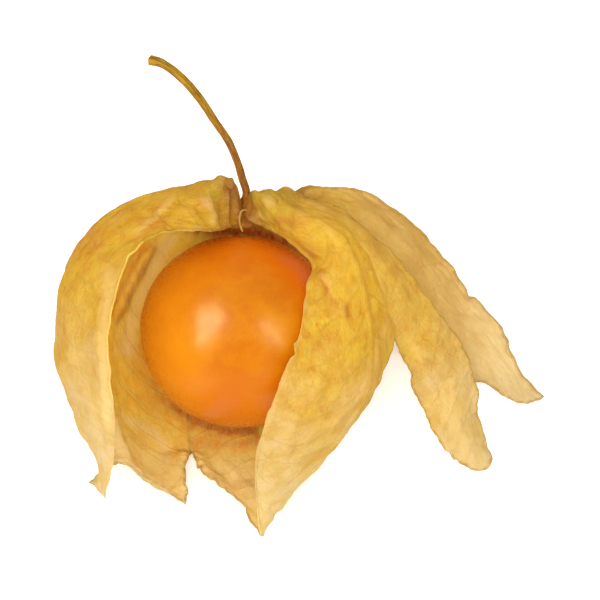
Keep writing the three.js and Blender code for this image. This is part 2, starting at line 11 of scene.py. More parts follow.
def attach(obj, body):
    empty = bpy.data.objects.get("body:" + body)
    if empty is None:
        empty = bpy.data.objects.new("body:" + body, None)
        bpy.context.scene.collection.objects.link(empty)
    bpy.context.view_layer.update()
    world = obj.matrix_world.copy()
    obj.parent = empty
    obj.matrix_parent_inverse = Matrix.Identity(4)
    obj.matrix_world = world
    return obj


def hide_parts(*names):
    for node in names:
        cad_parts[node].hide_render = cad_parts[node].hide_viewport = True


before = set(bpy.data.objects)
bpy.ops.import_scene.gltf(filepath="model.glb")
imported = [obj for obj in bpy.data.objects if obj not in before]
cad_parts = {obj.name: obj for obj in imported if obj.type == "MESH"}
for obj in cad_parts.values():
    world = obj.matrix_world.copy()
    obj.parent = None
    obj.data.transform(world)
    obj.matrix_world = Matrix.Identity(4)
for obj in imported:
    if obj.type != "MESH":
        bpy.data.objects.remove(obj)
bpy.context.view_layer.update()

MM = 0.001
SHIFT = np.array([-6.53, -2.87, 0.0])  # from the net's own origin to the frame's, as in the CAD model

# ---------------------------------------------------------------- dimensions, mm
BERRY_CENTRE = np.array([0.0, 0.0, 11.12])
BERRY_AXIS = np.array([0.0, 0.786, 0.618]) / np.linalg.norm([0.786, 0.618])
BERRY_R, BERRY_POLE = 10.4, 10.07
HUSK_T = 0.18  # the dry husk's thickness
HUSK_CLEAR = 0.22  # from the berry's skin to the husk's middle, at least
STALK_JOINT = np.array([0.0, 9.42, 18.9])
HUSK_AXIS = np.array([0.0, 0.9422, 0.335])
ROWS = 166  # rows of the fine mesh from the stalk to the tips

# ---------------------------------------------------------------- camera, at the photograph's viewing angle
TARGET = Vector((-0.27, -0.34, 13.12)) * MM
CAMERA = Vector((-0.27, -321.7, 396.1)) * MM
cam_data = bpy.data.cameras.new("camera")
cam_data.sensor_width = 36
cam_data.lens = 287.8
cam_data.clip_start = 0.01
cam_data.clip_end = 20
camera = bpy.data.objects.new("camera", cam_data)
camera.location = CAMERA
camera.rotation_euler = (TARGET - CAMERA).to_track_quat("-Z", "Y").to_euler()
bpy.context.scene.collection.objects.link(camera)
bpy.context.scene.camera = camera

# ---------------------------------------------------------------- the husk's net, mm, as in the CAD model
# Each lobe is a run of meridians from the stalk to its tip; neighbours are joined as far as TORN.
STATIONS = [0.0, 0.03, 0.07, 0.11, 0.16, 0.22, 0.29, 0.36, 0.43, 0.5, 0.56, 0.63, 0.7, 0.77, 0.84, 0.9, 0.95, 1.0]
TORN = [0.56, 0.11, 0.36, 0.7, 0.84]
NET = {
    "right_lobe": [
        [[0.15, 9.11, 19.78], [0.52, 8.21, 20.11], [1.46, 6.85, 20.65], [2.8, 5.5, 21.18], [4.55, 4.35, 21.41], [6.47, 2.98, 20.81], [7.78, 1.24, 19.84], [7.1, -1.71, 19.48], [6.65, -4.25, 18.94], [6.07, -6.54, 17.75], [5.26, -8.05, 16.66], [4.37, -9.49, 14.81], [3.61, -10.89, 12.72], [2.72, -12.63, 11.19], [1.91, -15.21, 10.31], [1.69, -18.12, 9.46], [1.86, -21.04, 8.6], [2.23, -23.87, 7.42]],
        [[0.32, 9.12, 19.74], [0.65, 9.16, 20.82], [1.11, 8.84, 22.33], [1.55, 7.82, 23.71], [4.79, 4.01, 22.98], [7.05, 2.45, 22.59], [8.76, 0.89, 21.67], [8.99, -1.76, 20.62], [8.75, -4.36, 19.09], [8.37, -6.78, 17.32], [7.83, -8.67, 15.86], [6.94, -10.7, 14.03], [5.75, -12.67, 12.12], [4.49, -14.73, 10.65], [3.4, -17.27, 9.7], [2.8, -19.74, 8.97], [2.51, -21.9, 8.24], [2.3, -23.83, 7.32]],
        [[0.47, 9.14, 19.68], [0.99, 9.27, 20.81], [1.77, 8.88, 22.24], [2.41, 8.12, 23.77], [5.2, 4.17, 23.89], [7.63, 2.83, 23.56], [9.64, 1.35, 22.71], [10.63, -1.06, 21.33], [11, -3.69, 19.52], [11.01, -6.14, 17.34], [10.67, -8.1, 15.43], [10.05, -10.05, 13.14], [8.57, -12.29, 11], [6.79, -14.73, 9.73], [5.29, -17.32, 9], [4.08, -19.73, 8.44], [3.18, -21.78, 7.91], [2.35, -23.8, 7.22]],
        [[0.61, 9.18, 19.59], [1.29, 9.38, 20.64], [2.35, 8.97, 21.98], [3.21, 8.4, 23.6], [5.61, 4.95, 24.16], [8.25, 3.66, 23.86], [10.5, 2.17, 23.13], [11.94, 0.12, 21.68], [12.89, -2.1, 19.55], [13.45, -4.14, 16.8], [13.54, -5.8, 14.23], [13.26, -7.73, 11.56], [12, -10.12, 9.56], [9.94, -12.7, 8.44], [7.46, -15.91, 8.09], [5.45, -18.79, 7.92], [3.86, -21.27, 7.7], [2.4, -23.76, 7.12]],
        [[0.73, 9.22, 19.48], [1.56, 9.47, 20.41], [2.88, 9.27, 21.63], [4.01, 8.81, 23.25], [5.92, 6.18, 23.76], [8.8, 4.8, 23.64], [11.26, 3.4, 22.86], [12.91, 1.73, 21.33], [14.15, -0.03, 18.94], [15.22, -1.12, 15.54], [15.95, -1.72, 12.04], [14.3, -4.06, 7.85], [12.57, -7.23, 6.5], [10.13, -10.47, 6.13], [7.53, -14.19, 6.4], [5.55, -17.52, 6.96], [3.87, -20.59, 7.29], [2.46, -23.73, 7.02]],
    ],
    "torn_strip": [
        [[0.73, 9.22, 19.48], [1.56, 9.47, 20.41], [2.88, 9.62, 21.92], [4.01, 9.15, 23.54], [5.92, 6.27, 23.83], [8.8, 4.8, 23.64], [11.26, 3.4, 22.86], [12.91, 1.73, 21.33], [14.15, -0.03, 18.94], [15.22, -1.12, 15.54], [15.95, -1.72, 12.04], [17.4, -2.78, 8.62], [17.99, -3.75, 5.82], [19.61, -4.13, 2.2], [20.81, -6.22, 1], [22.21, -8.06, 0.58], [23.34, -9.27, 0.46], [24.5, -9.87, 0.45]],
        [[0.83, 9.27, 19.33], [1.82, 9.59, 20.07], [3.35, 9.82, 21.35], [4.81, 9.39, 22.87], [6.47, 7.4, 23.22], [9.35, 6.14, 22.94], [11.97, 4.78, 22.19], [13.68, 3.45, 20.95], [15.42, 2.06, 18.87], [17.07, 0.84, 15.88], [18.5, 0.06, 12.61], [19.94, -0.76, 9.19], [20.83, -1.69, 6.19], [21.68, -2.38, 3.26], [22.54, -3.98, 1.5], [23.28, -5.95, 1], [24.35, -8.01, 0.9], [25.86, -9.65, 0.5]],
        [[0.9, 9.32, 19.18], [1.99, 9.71, 19.73], [3.71, 10.05, 20.71], [5.47, 9.67, 22.08], [7.05, 8.41, 22.23], [9.64, 7.35, 21.87], [12.15, 6.01, 21.01], [14.06, 4.88, 19.77], [16.18, 3.99, 18.05], [18.14, 3.1, 15.69], [19.66, 2.37, 13.21], [21.52, 1.93, 10.14], [23.16, 1.33, 6.94], [24.19, 0.64, 3.88], [24.81, -0.42, 1.36], [25.11, -2.66, 0.54], [25.8, -5.56, 0.44], [26.45, -8.41, 0.5]],
    ],
    "back_right_lobe": [
        [[0.9, 9.32, 19.18], [1.99, 9.71, 19.73], [3.71, 10.05, 20.71], [5.47, 9.67, 22.08], [7.6, 11.3, 20.9], [10.17, 12.87, 18.95], [12.42, 13.18, 18.08], [14.92, 12.51, 17.09], [17.21, 11.7, 15.76], [18.81, 11.04, 14.36], [20.3, 10.23, 12.9], [21.97, 9.36, 11.06], [23.37, 8, 9.25], [25.01, 7.06, 7.5], [27.24, 5.55, 5.33], [28.27, 4.13, 3.56], [29.4, 2.31, 1.82], [32.1, -0.01, 0.6]],
        [[0.95, 9.42, 18.9], [2.1, 9.88, 19.1], [3.99, 10.39, 19.47], [6.07, 10.34, 19.9], [8.55, 11.8, 18.39], [11.58, 13.35, 16.05], [14, 13.74, 14.29], [15.99, 13.13, 12.59], [17.85, 12.78, 11.02], [18.96, 11.94, 9.88], [20.04, 10.8, 8.88], [21.46, 9.59, 7.58], [22.93, 8.03, 6.27], [24.93, 6.83, 5.06], [27.22, 5.06, 3.53], [28.46, 3.52, 2.41], [29.7, 1.84, 1.25], [32.04, 0, 0.5]],
        [[0.9, 9.52, 18.62], [2.01, 10.1, 18.49], [3.83, 10.85, 18.17], [5.77, 11.01, 17.71], [8.34, 12.14, 16.07], [11.3, 13.38, 13.45], [13.64, 13.59, 11.01], [15.26, 12.76, 8.85], [17.2, 12.65, 7.23], [18.36, 11.63, 6.35], [19.43, 10.27, 5.72], [20.91, 8.82, 4.86], [22.6, 7.21, 3.94], [24.95, 5.89, 3.13], [27.25, 4.08, 2.13], [28.69, 2.51, 1.5], [29.99, 1.16, 0.84], [31.98, -0.05, 0.45]],
        [[0.77, 9.61, 18.37], [1.7, 10.3, 17.9], [3.24, 11.24, 17.05], [4.79, 11.67, 15.87], [6.99, 12.34, 13.96], [9.31, 12.96, 11.15], [11.33, 12.75, 8.22], [12.73, 11.38, 5.85], [15.25, 11.33, 4.39], [17.01, 10.13, 3.77], [18.47, 8.64, 3.4], [20.3, 7.05, 2.88], [22.36, 5.54, 2.26], [25.07, 4.26, 1.69], [27.33, 2.6, 1.13], [28.98, 1.1, 0.84], [30.29, 0.28, 0.57], [31.91, -0.14, 0.45]],
        [[0.56, 9.68, 18.18], [1.23, 10.46, 17.47], [2.29, 11.55, 16.18], [3.27, 12.14, 14.53], [4.48, 12.39, 12.04], [5.62, 12.09, 9.14], [7.07, 11.21, 5.93], [8.4, 9, 3.6], [12, 8.8, 2.5], [14.91, 7.43, 2.14], [17.16, 5.91, 1.94], [19.64, 4.28, 1.65], [22.23, 3.03, 1.23], [25.29, 1.92, 0.75], [27.46, 0.62, 0.53], [29.32, -0.71, 0.44], [30.58, -0.79, 0.46], [31.85, -0.29, 0.5]],
    ],
    "under_right_tooth": [
        [[0.56, 9.68, 18.18], [1.23, 10.46, 17.47], [2.29, 11.55, 16.18], [3.27, 12.14, 14.53], [4.48, 12.39, 12.04], [5.62, 12.09, 9.14], [7.07, 11.21, 5.93], [8.4, 9, 3.6], [9.3, 6, 2.2], [9.76, 2.73, 1.52], [9.72, -0.02, 1.25], [9.2, -3.14, 1.2], [8.24, -6.11, 1.33], [6.89, -9.3, 1.56], [5.37, -12.9, 2.14], [4.09, -16.41, 3.11], [3.22, -19.36, 4.17], [2.48, -22.33, 5.4]],
        [[0.29, 9.72, 18.05], [0.65, 10.56, 17.19], [1.17, 11.74, 15.66], [1.65, 12.39, 13.83], [2.23, 12.67, 11.24], [2.72, 12.04, 8.29], [3.37, 10.47, 5.16], [4.05, 8.01, 2.35], [4.68, 4.97, 0.41], [5.11, 1.88, 0.45], [5.33, -0.76, 0.49], [5.4, -3.84, 0.51], [5.28, -6.91, 0.63], [4.85, -10.04, 0.89], [4.22, -13.42, 1.59], [3.61, -16.65, 2.78], [3.03, -19.45, 3.98], [2.41, -22.34, 5.35]],
        [[0, 9.74, 18], [0, 10.59, 17.09], [0, 11.8, 15.5], [0, 12.37, 13.58], [0, 12.68, 10.93], [-0.01, 12.01, 8.1], [0.15, 10.29, 5.17], [0.37, 7.78, 2.36], [0.64, 4.76, 0.25], [1, 1.52, 0.26], [1.27, -1.17, 0.28], [1.54, -4.24, 0.28], [1.83, -7.31, 0.3], [2.02, -10.44, 0.54], [2.13, -13.83, 1.33], [2.19, -17.07, 2.66], [2.26, -19.71, 3.92], [2.34, -22.34, 5.3]],
        [[-0.29, 9.72, 18.05], [-0.65, 10.56, 17.19], [-1.17, 11.74, 15.66], [-1.7, 12.29, 13.81], [-2.37, 12.57, 11.24], [-2.81, 11.89, 8.44], [-2.95, 10.27, 5.45], [-2.83, 7.8, 2.49], [-2.57, 4.78, 0.24], [-2.36, 1.77, 0.3], [-2.18, -0.85, 0.32], [-1.97, -3.94, 0.31], [-1.7, -7.01, 0.41], [-1.33, -10.16, 0.83], [-0.63, -13.46, 1.73], [0.42, -16.46, 2.98], [1.33, -19.29, 4.12], [2.28, -22.34, 5.35]],
        [[-0.56, 9.68, 18.18], [-1.23, 10.46, 17.47], [-2.29, 11.55, 16.18], [-3.36, 12.03, 14.55], [-4.56, 12.24, 12.16], [-5.47, 11.64, 9.4], [-5.93, 10.1, 6.44], [-6.01, 7.79, 3.11], [-5.88, 5.01, 0.31], [-5.66, 2.25, 0.39], [-5.52, -0.44, 0.34], [-5.37, -3.92, 0.35], [-5.1, -7.6, 1], [-4.22, -10.56, 1.61], [-2.12, -13.65, 2.63], [0, -16.24, 3.66], [1.11, -19.09, 4.47], [2.24, -22.37, 5.4]],
    ],
    "under_left_tooth": [
        [[-0.56, 9.68, 18.18], [-1.23, 10.46, 17.47], [-2.29, 11.55, 16.18], [-3.36, 12.03, 14.55], [-4.56, 12.24, 12.16], [-5.47, 11.64, 9.4], [-5.93, 10.1, 6.44], [-6.01, 7.79, 3.11], [-5.88, 5.01, 0.31], [-5.66, 2.25, 0.39], [-5.52, -0.44, 0.34], [-5.36, -3.92, 0.35], [-5.1, -7.6, 1], [-5.75, -10.5, 2.1], [-5.62, -13.3, 3.58], [-5.53, -15.78, 4.95], [-5.48, -17.77, 5.99], [-5.45, -19.6, 6.9]],
        [[-0.77, 9.61, 18.37], [-1.7, 10.3, 17.9], [-3.22, 11.25, 17.03], [-4.79, 11.67, 15.87], [-6.78, 11.66, 14.08], [-8.63, 10.96, 11.85], [-10.16, 9.41, 9.23], [-11.02, 7.4, 6.58], [-11.16, 5.04, 4.08], [-10.41, 2.33, 2.03], [-9.89, -0.26, 1.02], [-9.44, -3.45, 0.55], [-9.1, -6.61, 0.49], [-8.74, -9.68, 0.82], [-8.21, -12.63, 1.76], [-7.52, -15.03, 3.21], [-6.89, -16.8, 4.84], [-6.21, -18.44, 6.76]],
        [[-0.9, 9.52, 18.62], [-1.99, 10.11, 18.44], [-3.78, 10.89, 18.04], [-5.6, 11.18, 17.24], [-7.92, 11.11, 15.93], [-10.12, 10.5, 13.94], [-11.85, 9.16, 11.43], [-12.92, 7.33, 8.88], [-13.47, 5.14, 6.43], [-13.61, 2.77, 4.27], [-13.42, 0.67, 2.88], [-12.93, -2.03, 1.77], [-12.38, -5.3, 1.15], [-11.68, -8.27, 1.24], [-10.85, -10.95, 1.98], [-10.04, -13.08, 3.09], [-9.3, -14.54, 4.25], [-8.5, -15.79, 5.58]],
        [[-0.95, 9.42, 18.9], [-2.1, 9.9, 19.03], [-4.03, 10.3, 18.97], [-5.97, 10.37, 18.56], [-8.41, 10.26, 17.64], [-11.04, 9.76, 16.12], [-13.04, 8.66, 13.9], [-14.25, 7.04, 11.56], [-14.83, 4.98, 9.25], [-15, 2.76, 7.2], [-14.83, 0.74, 5.75], [-14.35, -1.68, 4.54], [-13.91, -4.13, 3.99], [-12.95, -6.19, 4.3], [-12.57, -8.73, 4.48], [-12.65, -11.42, 4.19], [-11.68, -12.29, 4.99], [-10.96, -13.55, 5.38]],
        [[-0.9, 9.32, 19.18], [-2.01, 9.69, 19.65], [-3.94, 9.66, 19.87], [-5.85, 9.49, 19.94], [-8.33, 9.12, 19.57], [-11.19, 8.64, 18.74], [-13.74, 7.72, 17.07], [-15.46, 6.29, 15], [-16.44, 4.35, 12.71], [-16.49, 2.15, 10.45], [-16.36, 0.02, 8.89], [-15.82, -2.6, 7.56], [-15.01, -5.23, 6.74], [-14.65, -8.3, 6.19], [-14.69, -11.66, 5.65], [-13.23, -11.74, 6.04], [-13.44, -13.03, 5.19], [-12.91, -13, 5.18]],
    ],
    "left_lobe": [
        [[-0.9, 9.32, 19.18], [-2.01, 9.69, 19.65], [-3.94, 9.66, 19.87], [-5.85, 9.49, 19.94], [-8.33, 9.12, 19.57], [-11.19, 8.64, 18.74], [-13.74, 7.72, 17.07], [-15.46, 6.29, 15], [-16.44, 4.35, 12.71], [-16.49, 2.15, 10.45], [-16.36, 0.02, 8.89], [-15.82, -2.6, 7.56], [-15.01, -5.23, 6.74], [-14.49, -8.12, 6.15], [-14.69, -11.66, 5.65], [-14.33, -13.46, 5.71], [-14.63, -14.86, 5.84], [-15.49, -15.93, 5.98]],
        [[-0.77, 9.23, 19.43], [-1.37, 9.89, 20.22], [-2.68, 9.82, 21.2], [-4.81, 9.17, 21.57], [-7.62, 8.4, 21.99], [-10.48, 7.64, 21.86], [-13.41, 6.65, 21.11], [-15.74, 5.44, 19.62], [-17.47, 3.84, 17.57], [-18.25, 1.57, 15.33], [-18.61, -0.53, 13.67], [-18.54, -3.16, 12.05], [-18.01, -5.89, 10.83], [-17.17, -8.63, 10.06], [-15.72, -12.21, 8.46], [-14.34, -14.56, 7.79], [-14.4, -15.73, 7.07], [-15.05, -16.13, 5.56]],
        [[-0.56, 9.16, 19.62], [-0.67, 9.82, 20.93], [-1.59, 10.15, 22.39], [-3.74, 9.2, 23.42], [-6.23, 8.07, 24.26], [-8.85, 6.99, 24.67], [-11.73, 5.65, 24.53], [-14.18, 4.01, 23.63], [-16.18, 2.11, 22.21], [-17.71, -0.2, 20.41], [-18.36, -2.32, 18.84], [-18.55, -4.87, 17.16], [-18.38, -7.59, 15.79], [-17.51, -10.15, 14.4], [-16.15, -13.32, 11.84], [-14.49, -15.39, 9.84], [-14.18, -16.36, 7.98], [-14.67, -16.44, 5.3]],
        [[-0.36, 9.12, 19.73], [-0.11, 9.63, 21.56], [-0.48, 10.02, 23.06], [-1.94, 9.11, 24.52], [-3.92, 6.6, 25.15], [-6.06, 4.47, 25.85], [-8.98, 3.14, 25.86], [-11.27, 1.3, 25.59], [-13.13, -0.83, 24.97], [-14.78, -3.01, 23.89], [-15.68, -5.11, 22.69], [-16.17, -7.69, 21.17], [-16.04, -10.34, 19.72], [-15.4, -12.62, 18.18], [-14.86, -15.32, 15.12], [-13.83, -16.75, 12.35], [-13.82, -17.02, 8.99], [-14.24, -17.06, 5.43]],
        [[-0.13, 9.1, 19.79], [0.04, 8.36, 19.61], [-0.19, 7.19, 19.92], [-0.96, 5.84, 20.89], [-1.91, 4.43, 22.07], [-3.22, 2.96, 23.47], [-5.04, 1.5, 24.97], [-7.02, 0.52, 26.26], [-9.41, -1.29, 26.89], [-11.24, -4.22, 26.75], [-12.06, -7, 26], [-12.66, -10.29, 24.48], [-12.87, -12.86, 22.37], [-12.55, -15.04, 19.56], [-12.46, -16.54, 16.24], [-12.61, -17.14, 13.06], [-12.87, -17.39, 9.85], [-13.59, -17.87, 5.8]],
    ],
}


# ---------------------------------------------------------------- smooth noise, the same on each run
def _lattice(i, j, k, seed):
    h = (i * 374761393 + j * 668265263 + k * 974634777 + seed * 144269504) & 0xFFFFFFFF
    h = ((h ^ (h >> 13)) * 1274126177) & 0xFFFFFFFF
    h = ((h ^ (h >> 16)) * 2246822519) & 0xFFFFFFFF
    return h ^ (h >> 15)


_GRADIENTS = np.array(
    [[1, 1, 0], [-1, 1, 0], [1, -1, 0], [-1, -1, 0], [1, 0, 1], [-1, 0, 1],
     [1, 0, -1], [-1, 0, -1], [0, 1, 1], [0, -1, 1], [0, 1, -1], [0, -1, -1]], float)


def noise(p, seed=0):
    """Gradient noise of about -1 to 1 at points p[..., 3]."""
    p = np.asarray(p, float)
    base = np.floor(p).astype(np.int64)
    f = p - base
    w = f * f * f * (f * (f * 6 - 15) + 10)
    total = 0
    for a in (0, 1):
        for b in (0, 1):
            for c in (0, 1):
                h = _lattice(base[..., 0] + a, base[..., 1] + b, base[..., 2] + c, seed)
                g = _GRADIENTS[h % 12]
                d = f - np.array([a, b, c])
                weight = (
                    (w[..., 0] if a else 1 - w[..., 0])
                    * (w[..., 1] if b else 1 - w[..., 1])
                    * (w[..., 2] if c else 1 - w[..., 2])
                )
                total = total + weight * (g * d).sum(-1)
    return total * 1.35


def line_noise(x, seed=0):
    x = np.asarray(x, float)
    return noise(np.stack([x, np.full_like(x, seed * 7.31 + 0.37), np.full_like(x, 0.41)], -1), seed)


def fractal(p, octaves=3, seed=0, gain=0.5):
    total, amount = 0, 1.0
    for o in range(octaves):
        total = total + amount * noise(np.asarray(p) * 2.03**o + 11.7 * o, seed + o)
        amount *= gain
    return total


def smooth(x, low=0.0, high=1.0):
    t = np.clip((np.asarray(x, float) - low) / (high - low), 0, 1)
    return t * t * (3 - 2 * t)


def bell(x, width):
    return np.exp(-((np.asarray(x, float) / width) ** 2))


# ---------------------------------------------------------------- meshes
def new_object(name, points_mm, faces, smooth_shade=True):
    mesh = bpy.data.meshes.new(name)
    mesh.from_pydata((np.asarray(points_mm) * MM).tolist(), [], faces)
    mesh.validate(clean_customdata=False)
    mesh.update()
    mesh.polygons.foreach_set("use_smooth", [smooth_shade] * len(mesh.polygons))
    obj = bpy.data.objects.new(name, mesh)
    bpy.context.scene.collection.objects.link(obj)
    return obj


def keep_values(obj, name, values):
    """Keeps numbers at the mesh's points, for the materials to read."""
    values = np.asarray(values, np.float32)
    kind = "FLOAT_VECTOR" if values.ndim == 2 else "FLOAT"
    attribute = obj.data.attributes.new(name, kind, "POINT")
    attribute.data.foreach_set("vector" if values.ndim == 2 else "value", values.ravel())


def vertex_normals(points, quads):
    a, b, c, d = (points[quads[:, i]] for i in range(4))
    n = np.cross(c - a, d - b)
    total = np.zeros_like(points)
    for i in range(4):
        np.add.at(total, quads[:, i], n)
    length = np.linalg.norm(total, axis=1, keepdims=True)
    return total / np.maximum(length, 1e-12)


# ---------------------------------------------------------------- the husk
def hermite(t, p0, p1, m0, m1):
    t = np.asarray(t)[..., None]
    return (
        (2 * t**3 - 3 * t**2 + 1) * p0 + (t**3 - 2 * t**2 + t) * m0
        + (-2 * t**3 + 3 * t**2) * p1 + (t**3 - t**2) * m1
    )


def along(points, v):
    s, q = np.array(STATIONS), np.array(points, float)
    d = np.diff(q, axis=0) / np.diff(s)[:, None]
    m = np.zeros_like(q)
    h = np.diff(s)[:, None]
    m[1:-1] = (d[:-1] * h[1:] + d[1:] * h[:-1]) / (h[:-1] + h[1:])
    m[0], m[-1] = 1.5 * d[0] - 0.5 * m[1], 1.5 * d[-1] - 0.5 * m[-2]
    i = np.clip(np.searchsorted(s, v, side="right") - 1, 0, len(s) - 2)
    step = (s[i + 1] - s[i])[:, None]
    return hermite((v - s[i]) / step[:, 0], q[i], q[i + 1], m[i] * step, m[i + 1] * step)


V = np.linspace(0, 1, ROWS)
NAMES = list(NET)
LINES = [np.array([along(m, V) for m in NET[n]]) for n in NAMES]  # lobe, meridian, row, xyz
for k in range(1, len(LINES)):
    joined = V <= TORN[k - 1] + 1e-9
    LINES[k][0][joined] = LINES[k - 1][-1][joined]
TANGENTS = []
for k, q in enumerate(LINES):
    m = np.zeros_like(q)
    m[1:-1] = (q[2:] - q[:-2]) / 2
    m[0] = 1.5 * (q[1] - q[0]) - 0.5 * m[1]
    m[-1] = 1.5 * (q[-1] - q[-2]) - 0.5 * m[-2]
    if k > 0:
        f = (1 - smooth((V - TORN[k - 1]) / 0.08))[:, None]
        m[0] = m[0] * (1 - f) + (q[1] - LINES[k - 1][-2]) / 2 * f
    if k < len(LINES) - 1:
        f = (1 - smooth((V - TORN[k]) / 0.08))[:, None]
        m[-1] = m[-1] * (1 - f) + (LINES[k + 1][1] - q[-2]) / 2 * f
    TANGENTS.append(m)


def on_lobe(k, c):
    """Points of lobe k at meridian numbers c[row, column]; a little past an edge is a straight run on."""
    q, m = LINES[k], TANGENTS[k]
    last = len(q) - 1
    inside = np.clip(c, 0, last)
    j = np.clip(np.floor(inside).astype(int), 0, last - 1)
    rows = np.arange(len(V))[:, None] * np.ones_like(j)
    p = hermite(inside - j, q[j, rows], q[j + 1, rows], m[j, rows], m[j + 1, rows])
    under, over = np.minimum(c, 0)[..., None], np.maximum(c - last, 0)[..., None]
    return p + under * m[0][rows] + over * m[-1][rows]


# for each lobe: columns of the fine mesh, meridians that carry a main rib, how ragged the first and last
# edges are, in mm, how pink it is
LOBES = {
    "right_lobe": dict(columns=62, ribs=(0, 3), ragged=(0.10, 0.13), pink=0.0),
    "torn_strip": dict(columns=27, ribs=(2,), ragged=(0.28, 0.16), pink=0.15),
    "back_right_lobe": dict(columns=60, ribs=(0, 2, 4), ragged=(0.12, 0.26), pink=0.90),
    "under_right_tooth": dict(columns=50, ribs=(0, 2, 4), ragged=(0.20, 0.16), pink=0.1),
    "under_left_tooth": dict(columns=44, ribs=(0, 2, 4), ragged=(0.16, 0.22), pink=0.1),
    "left_lobe": dict(columns=47, ribs=(0, 2, 4), ragged=(0.15, 0.08), pink=0.0),
}


def ragged_line(length, amount, seed):
    """How far an edge strays, in mm, at each row of an edge of that length: soft bites and small teeth."""
    s = V * length
    soft = line_noise(s / 2.6, seed) + 0.7 * line_noise(s / 1.05, seed + 3)
    teeth = np.abs(line_noise(s / 0.8, seed + 5)) ** 0.8 * 1.3 - 0.45
    return amount * (0.75 * soft + 0.55 * teeth)


points, lobes, seam = [], [], None
for k, name in enumerate(NAMES):
    info = LOBES[name]
    q, m = LINES[k], TANGENTS[k]
    last = len(q) - 1
    n = info["columns"]
    starts = TORN[k - 1] if k > 0 else 0.02
    ends = TORN[k] if k < len(NAMES) - 1 else 0.02
    wide = np.linalg.norm(np.diff(q, axis=0), axis=2).sum(0)  # each row's width, mm
    length = np.linalg.norm(np.diff(q[last // 2], axis=0), axis=1).sum()
    step_first = np.maximum(np.linalg.norm(m[0], axis=1), 0.4)
    step_last = np.maximum(np.linalg.norm(m[-1], axis=1), 0.4)
    room = np.minimum(0.18 * wide, 1.0)
    first = np.clip(ragged_line(length, info["ragged"][0], 20 + 3 * k), -room, room)
    final = np.clip(ragged_line(length, info["ragged"][1], 50 + 3 * k), -room, room)
    first *= smooth(V, starts, starts + 0.05) * (1 - smooth(V, 0.975, 1.0))
    final *= smooth(V, ends, ends + 0.05) * (1 - smooth(V, 0.975, 1.0))
    if name == "left_lobe":  # frayed where it arches over the berry
        final += ragged_line(length, 0.24, 97) * smooth(V, 0.17, 0.23) * (1 - smooth(V, 0.42, 0.50))
    if name == "back_right_lobe":  # a notch where the edge steps out
        first += 0.40 * bell(V - 0.736, 0.012) - 0.24 * bell(V - 0.766, 0.010) + 0.20 * bell(V - 0.832, 0.035)
    if name == "right_lobe":  # a small nick halfway down the free edge
        first += 0.30 * bell(V - 0.548, 0.011) - 0.22 * bell(V - 0.520, 0.009)
    c0, c1 = first / step_first, last - final / step_last
    u = np.linspace(0, 1, n + 1)
    c = c0[:, None] + (c1 - c0)[:, None] * u[None, :]
    p = on_lobe(k, c)
    ids = np.zeros(c.shape, int)
    own = np.ones(c.shape, bool)
    if k > 0:
        own[V <= TORN[k - 1] + 1e-9, 0] = False
    ids[own] = len(points) + np.arange(own.sum())
    if k > 0:
        ids[~own[:, 0], 0] = seam[~own[:, 0]]
    points.extend(p[own])
    seam = ids[:, -1]
    lobes.append(dict(k=k, name=name, ids=ids, c=c, own=own, info=info, u=u, starts=starts, ends=ends))

MIDDLE = np.array(points)
QUADS = np.concatenate([
    np.stack([l["ids"][:-1, :-1], l["ids"][1:, :-1], l["ids"][1:, 1:], l["ids"][:-1, 1:]], -1).reshape(-1, 4)
    for l in lobes
])
COUNT = len(MIDDLE)

# what each point of the sheet knows: how far along (0 stalk, 1 tip), its place in the flat sheet in mm,
# how far it is from a main rib, which secondary vein it is near, which lobe it is on
v_of, lay, rib, vein, lobe_of = (np.zeros(COUNT), np.zeros((COUNT, 2)), np.full(COUNT, 9.0),
                                 np.zeros(COUNT), np.zeros(COUNT, int))
for l in lobes:
    p = MIDDLE[l["ids"]]
    across = np.concatenate([np.zeros((ROWS, 1)), np.cumsum(np.linalg.norm(np.diff(p, axis=1), axis=2), 1)], 1)
    down = np.concatenate([[0], np.cumsum(np.linalg.norm(np.diff(p[:, len(l["u"]) // 2], axis=0), axis=1))])
    at = [np.array([np.interp(r, l["c"][i], across[i]) for i in range(ROWS)]) for r in l["info"]["ribs"]]
    near = np.min([np.abs(across - a[:, None]) for a in at], axis=0)
    middle = at[0] if len(at) == 1 else at[1]
    x = across - middle[:, None]
    # the free tear of a lobe isn't a rib, so its secondaries run on to the torn edge
    reach = np.maximum(np.max(np.abs(x), axis=1), 0.3)[:, None]
    t = np.abs(x) / reach
    rise = reach * (0.75 * t - 0.22 * t * t) * 1.05
    y = down[:, None] + 0 * x
    wander = noise(np.stack([x / 4.2, y / 5.0, np.full_like(x, 3.7 * l["k"])], -1), 5)
    q = (y - rise + 0.9 * wander) / 3.3 + np.where(x > 0, 0.37, 0.0)
    i = l["ids"]
    o = l["own"]
    v_of[i[o]] = np.broadcast_to(V[:, None], x.shape)[o]
    lay[i[o]] = np.stack([x, y], -1)[o]
    rib[i] = np.minimum(rib[i], near)
    vein[i[o]] = q[o]
    lobe_of[i[o]] = l["k"]

# free edges, for the browned rim and the curl
edge_points, edge_lobe = [], []
for l in lobes:
    i = l["ids"]
    edge_points += list(i[V > l["starts"], 0]) + list(i[V > l["ends"], -1]) + list(i[-1, :])
    edge_lobe += [l["k"]] * (int((V > l["starts"]).sum()) + int((V > l["ends"]).sum()) + i.shape[1])
edge = np.full(COUNT, 9.0)
for l in lobes:
    chosen = [p for p, kk in zip(edge_points, edge_lobe) if kk == l["k"]]
    tree = KDTree(len(chosen))
    for n_, p_ in enumerate(chosen):
        tree.insert(MIDDLE[p_], n_)
    tree.balance()
    mine = np.unique(l["ids"])
    for p_ in mine:
        _, n_, d_ = tree.find(MIDDLE[p_])
        if d_ < edge[p_]:
            edge[p_] = d_


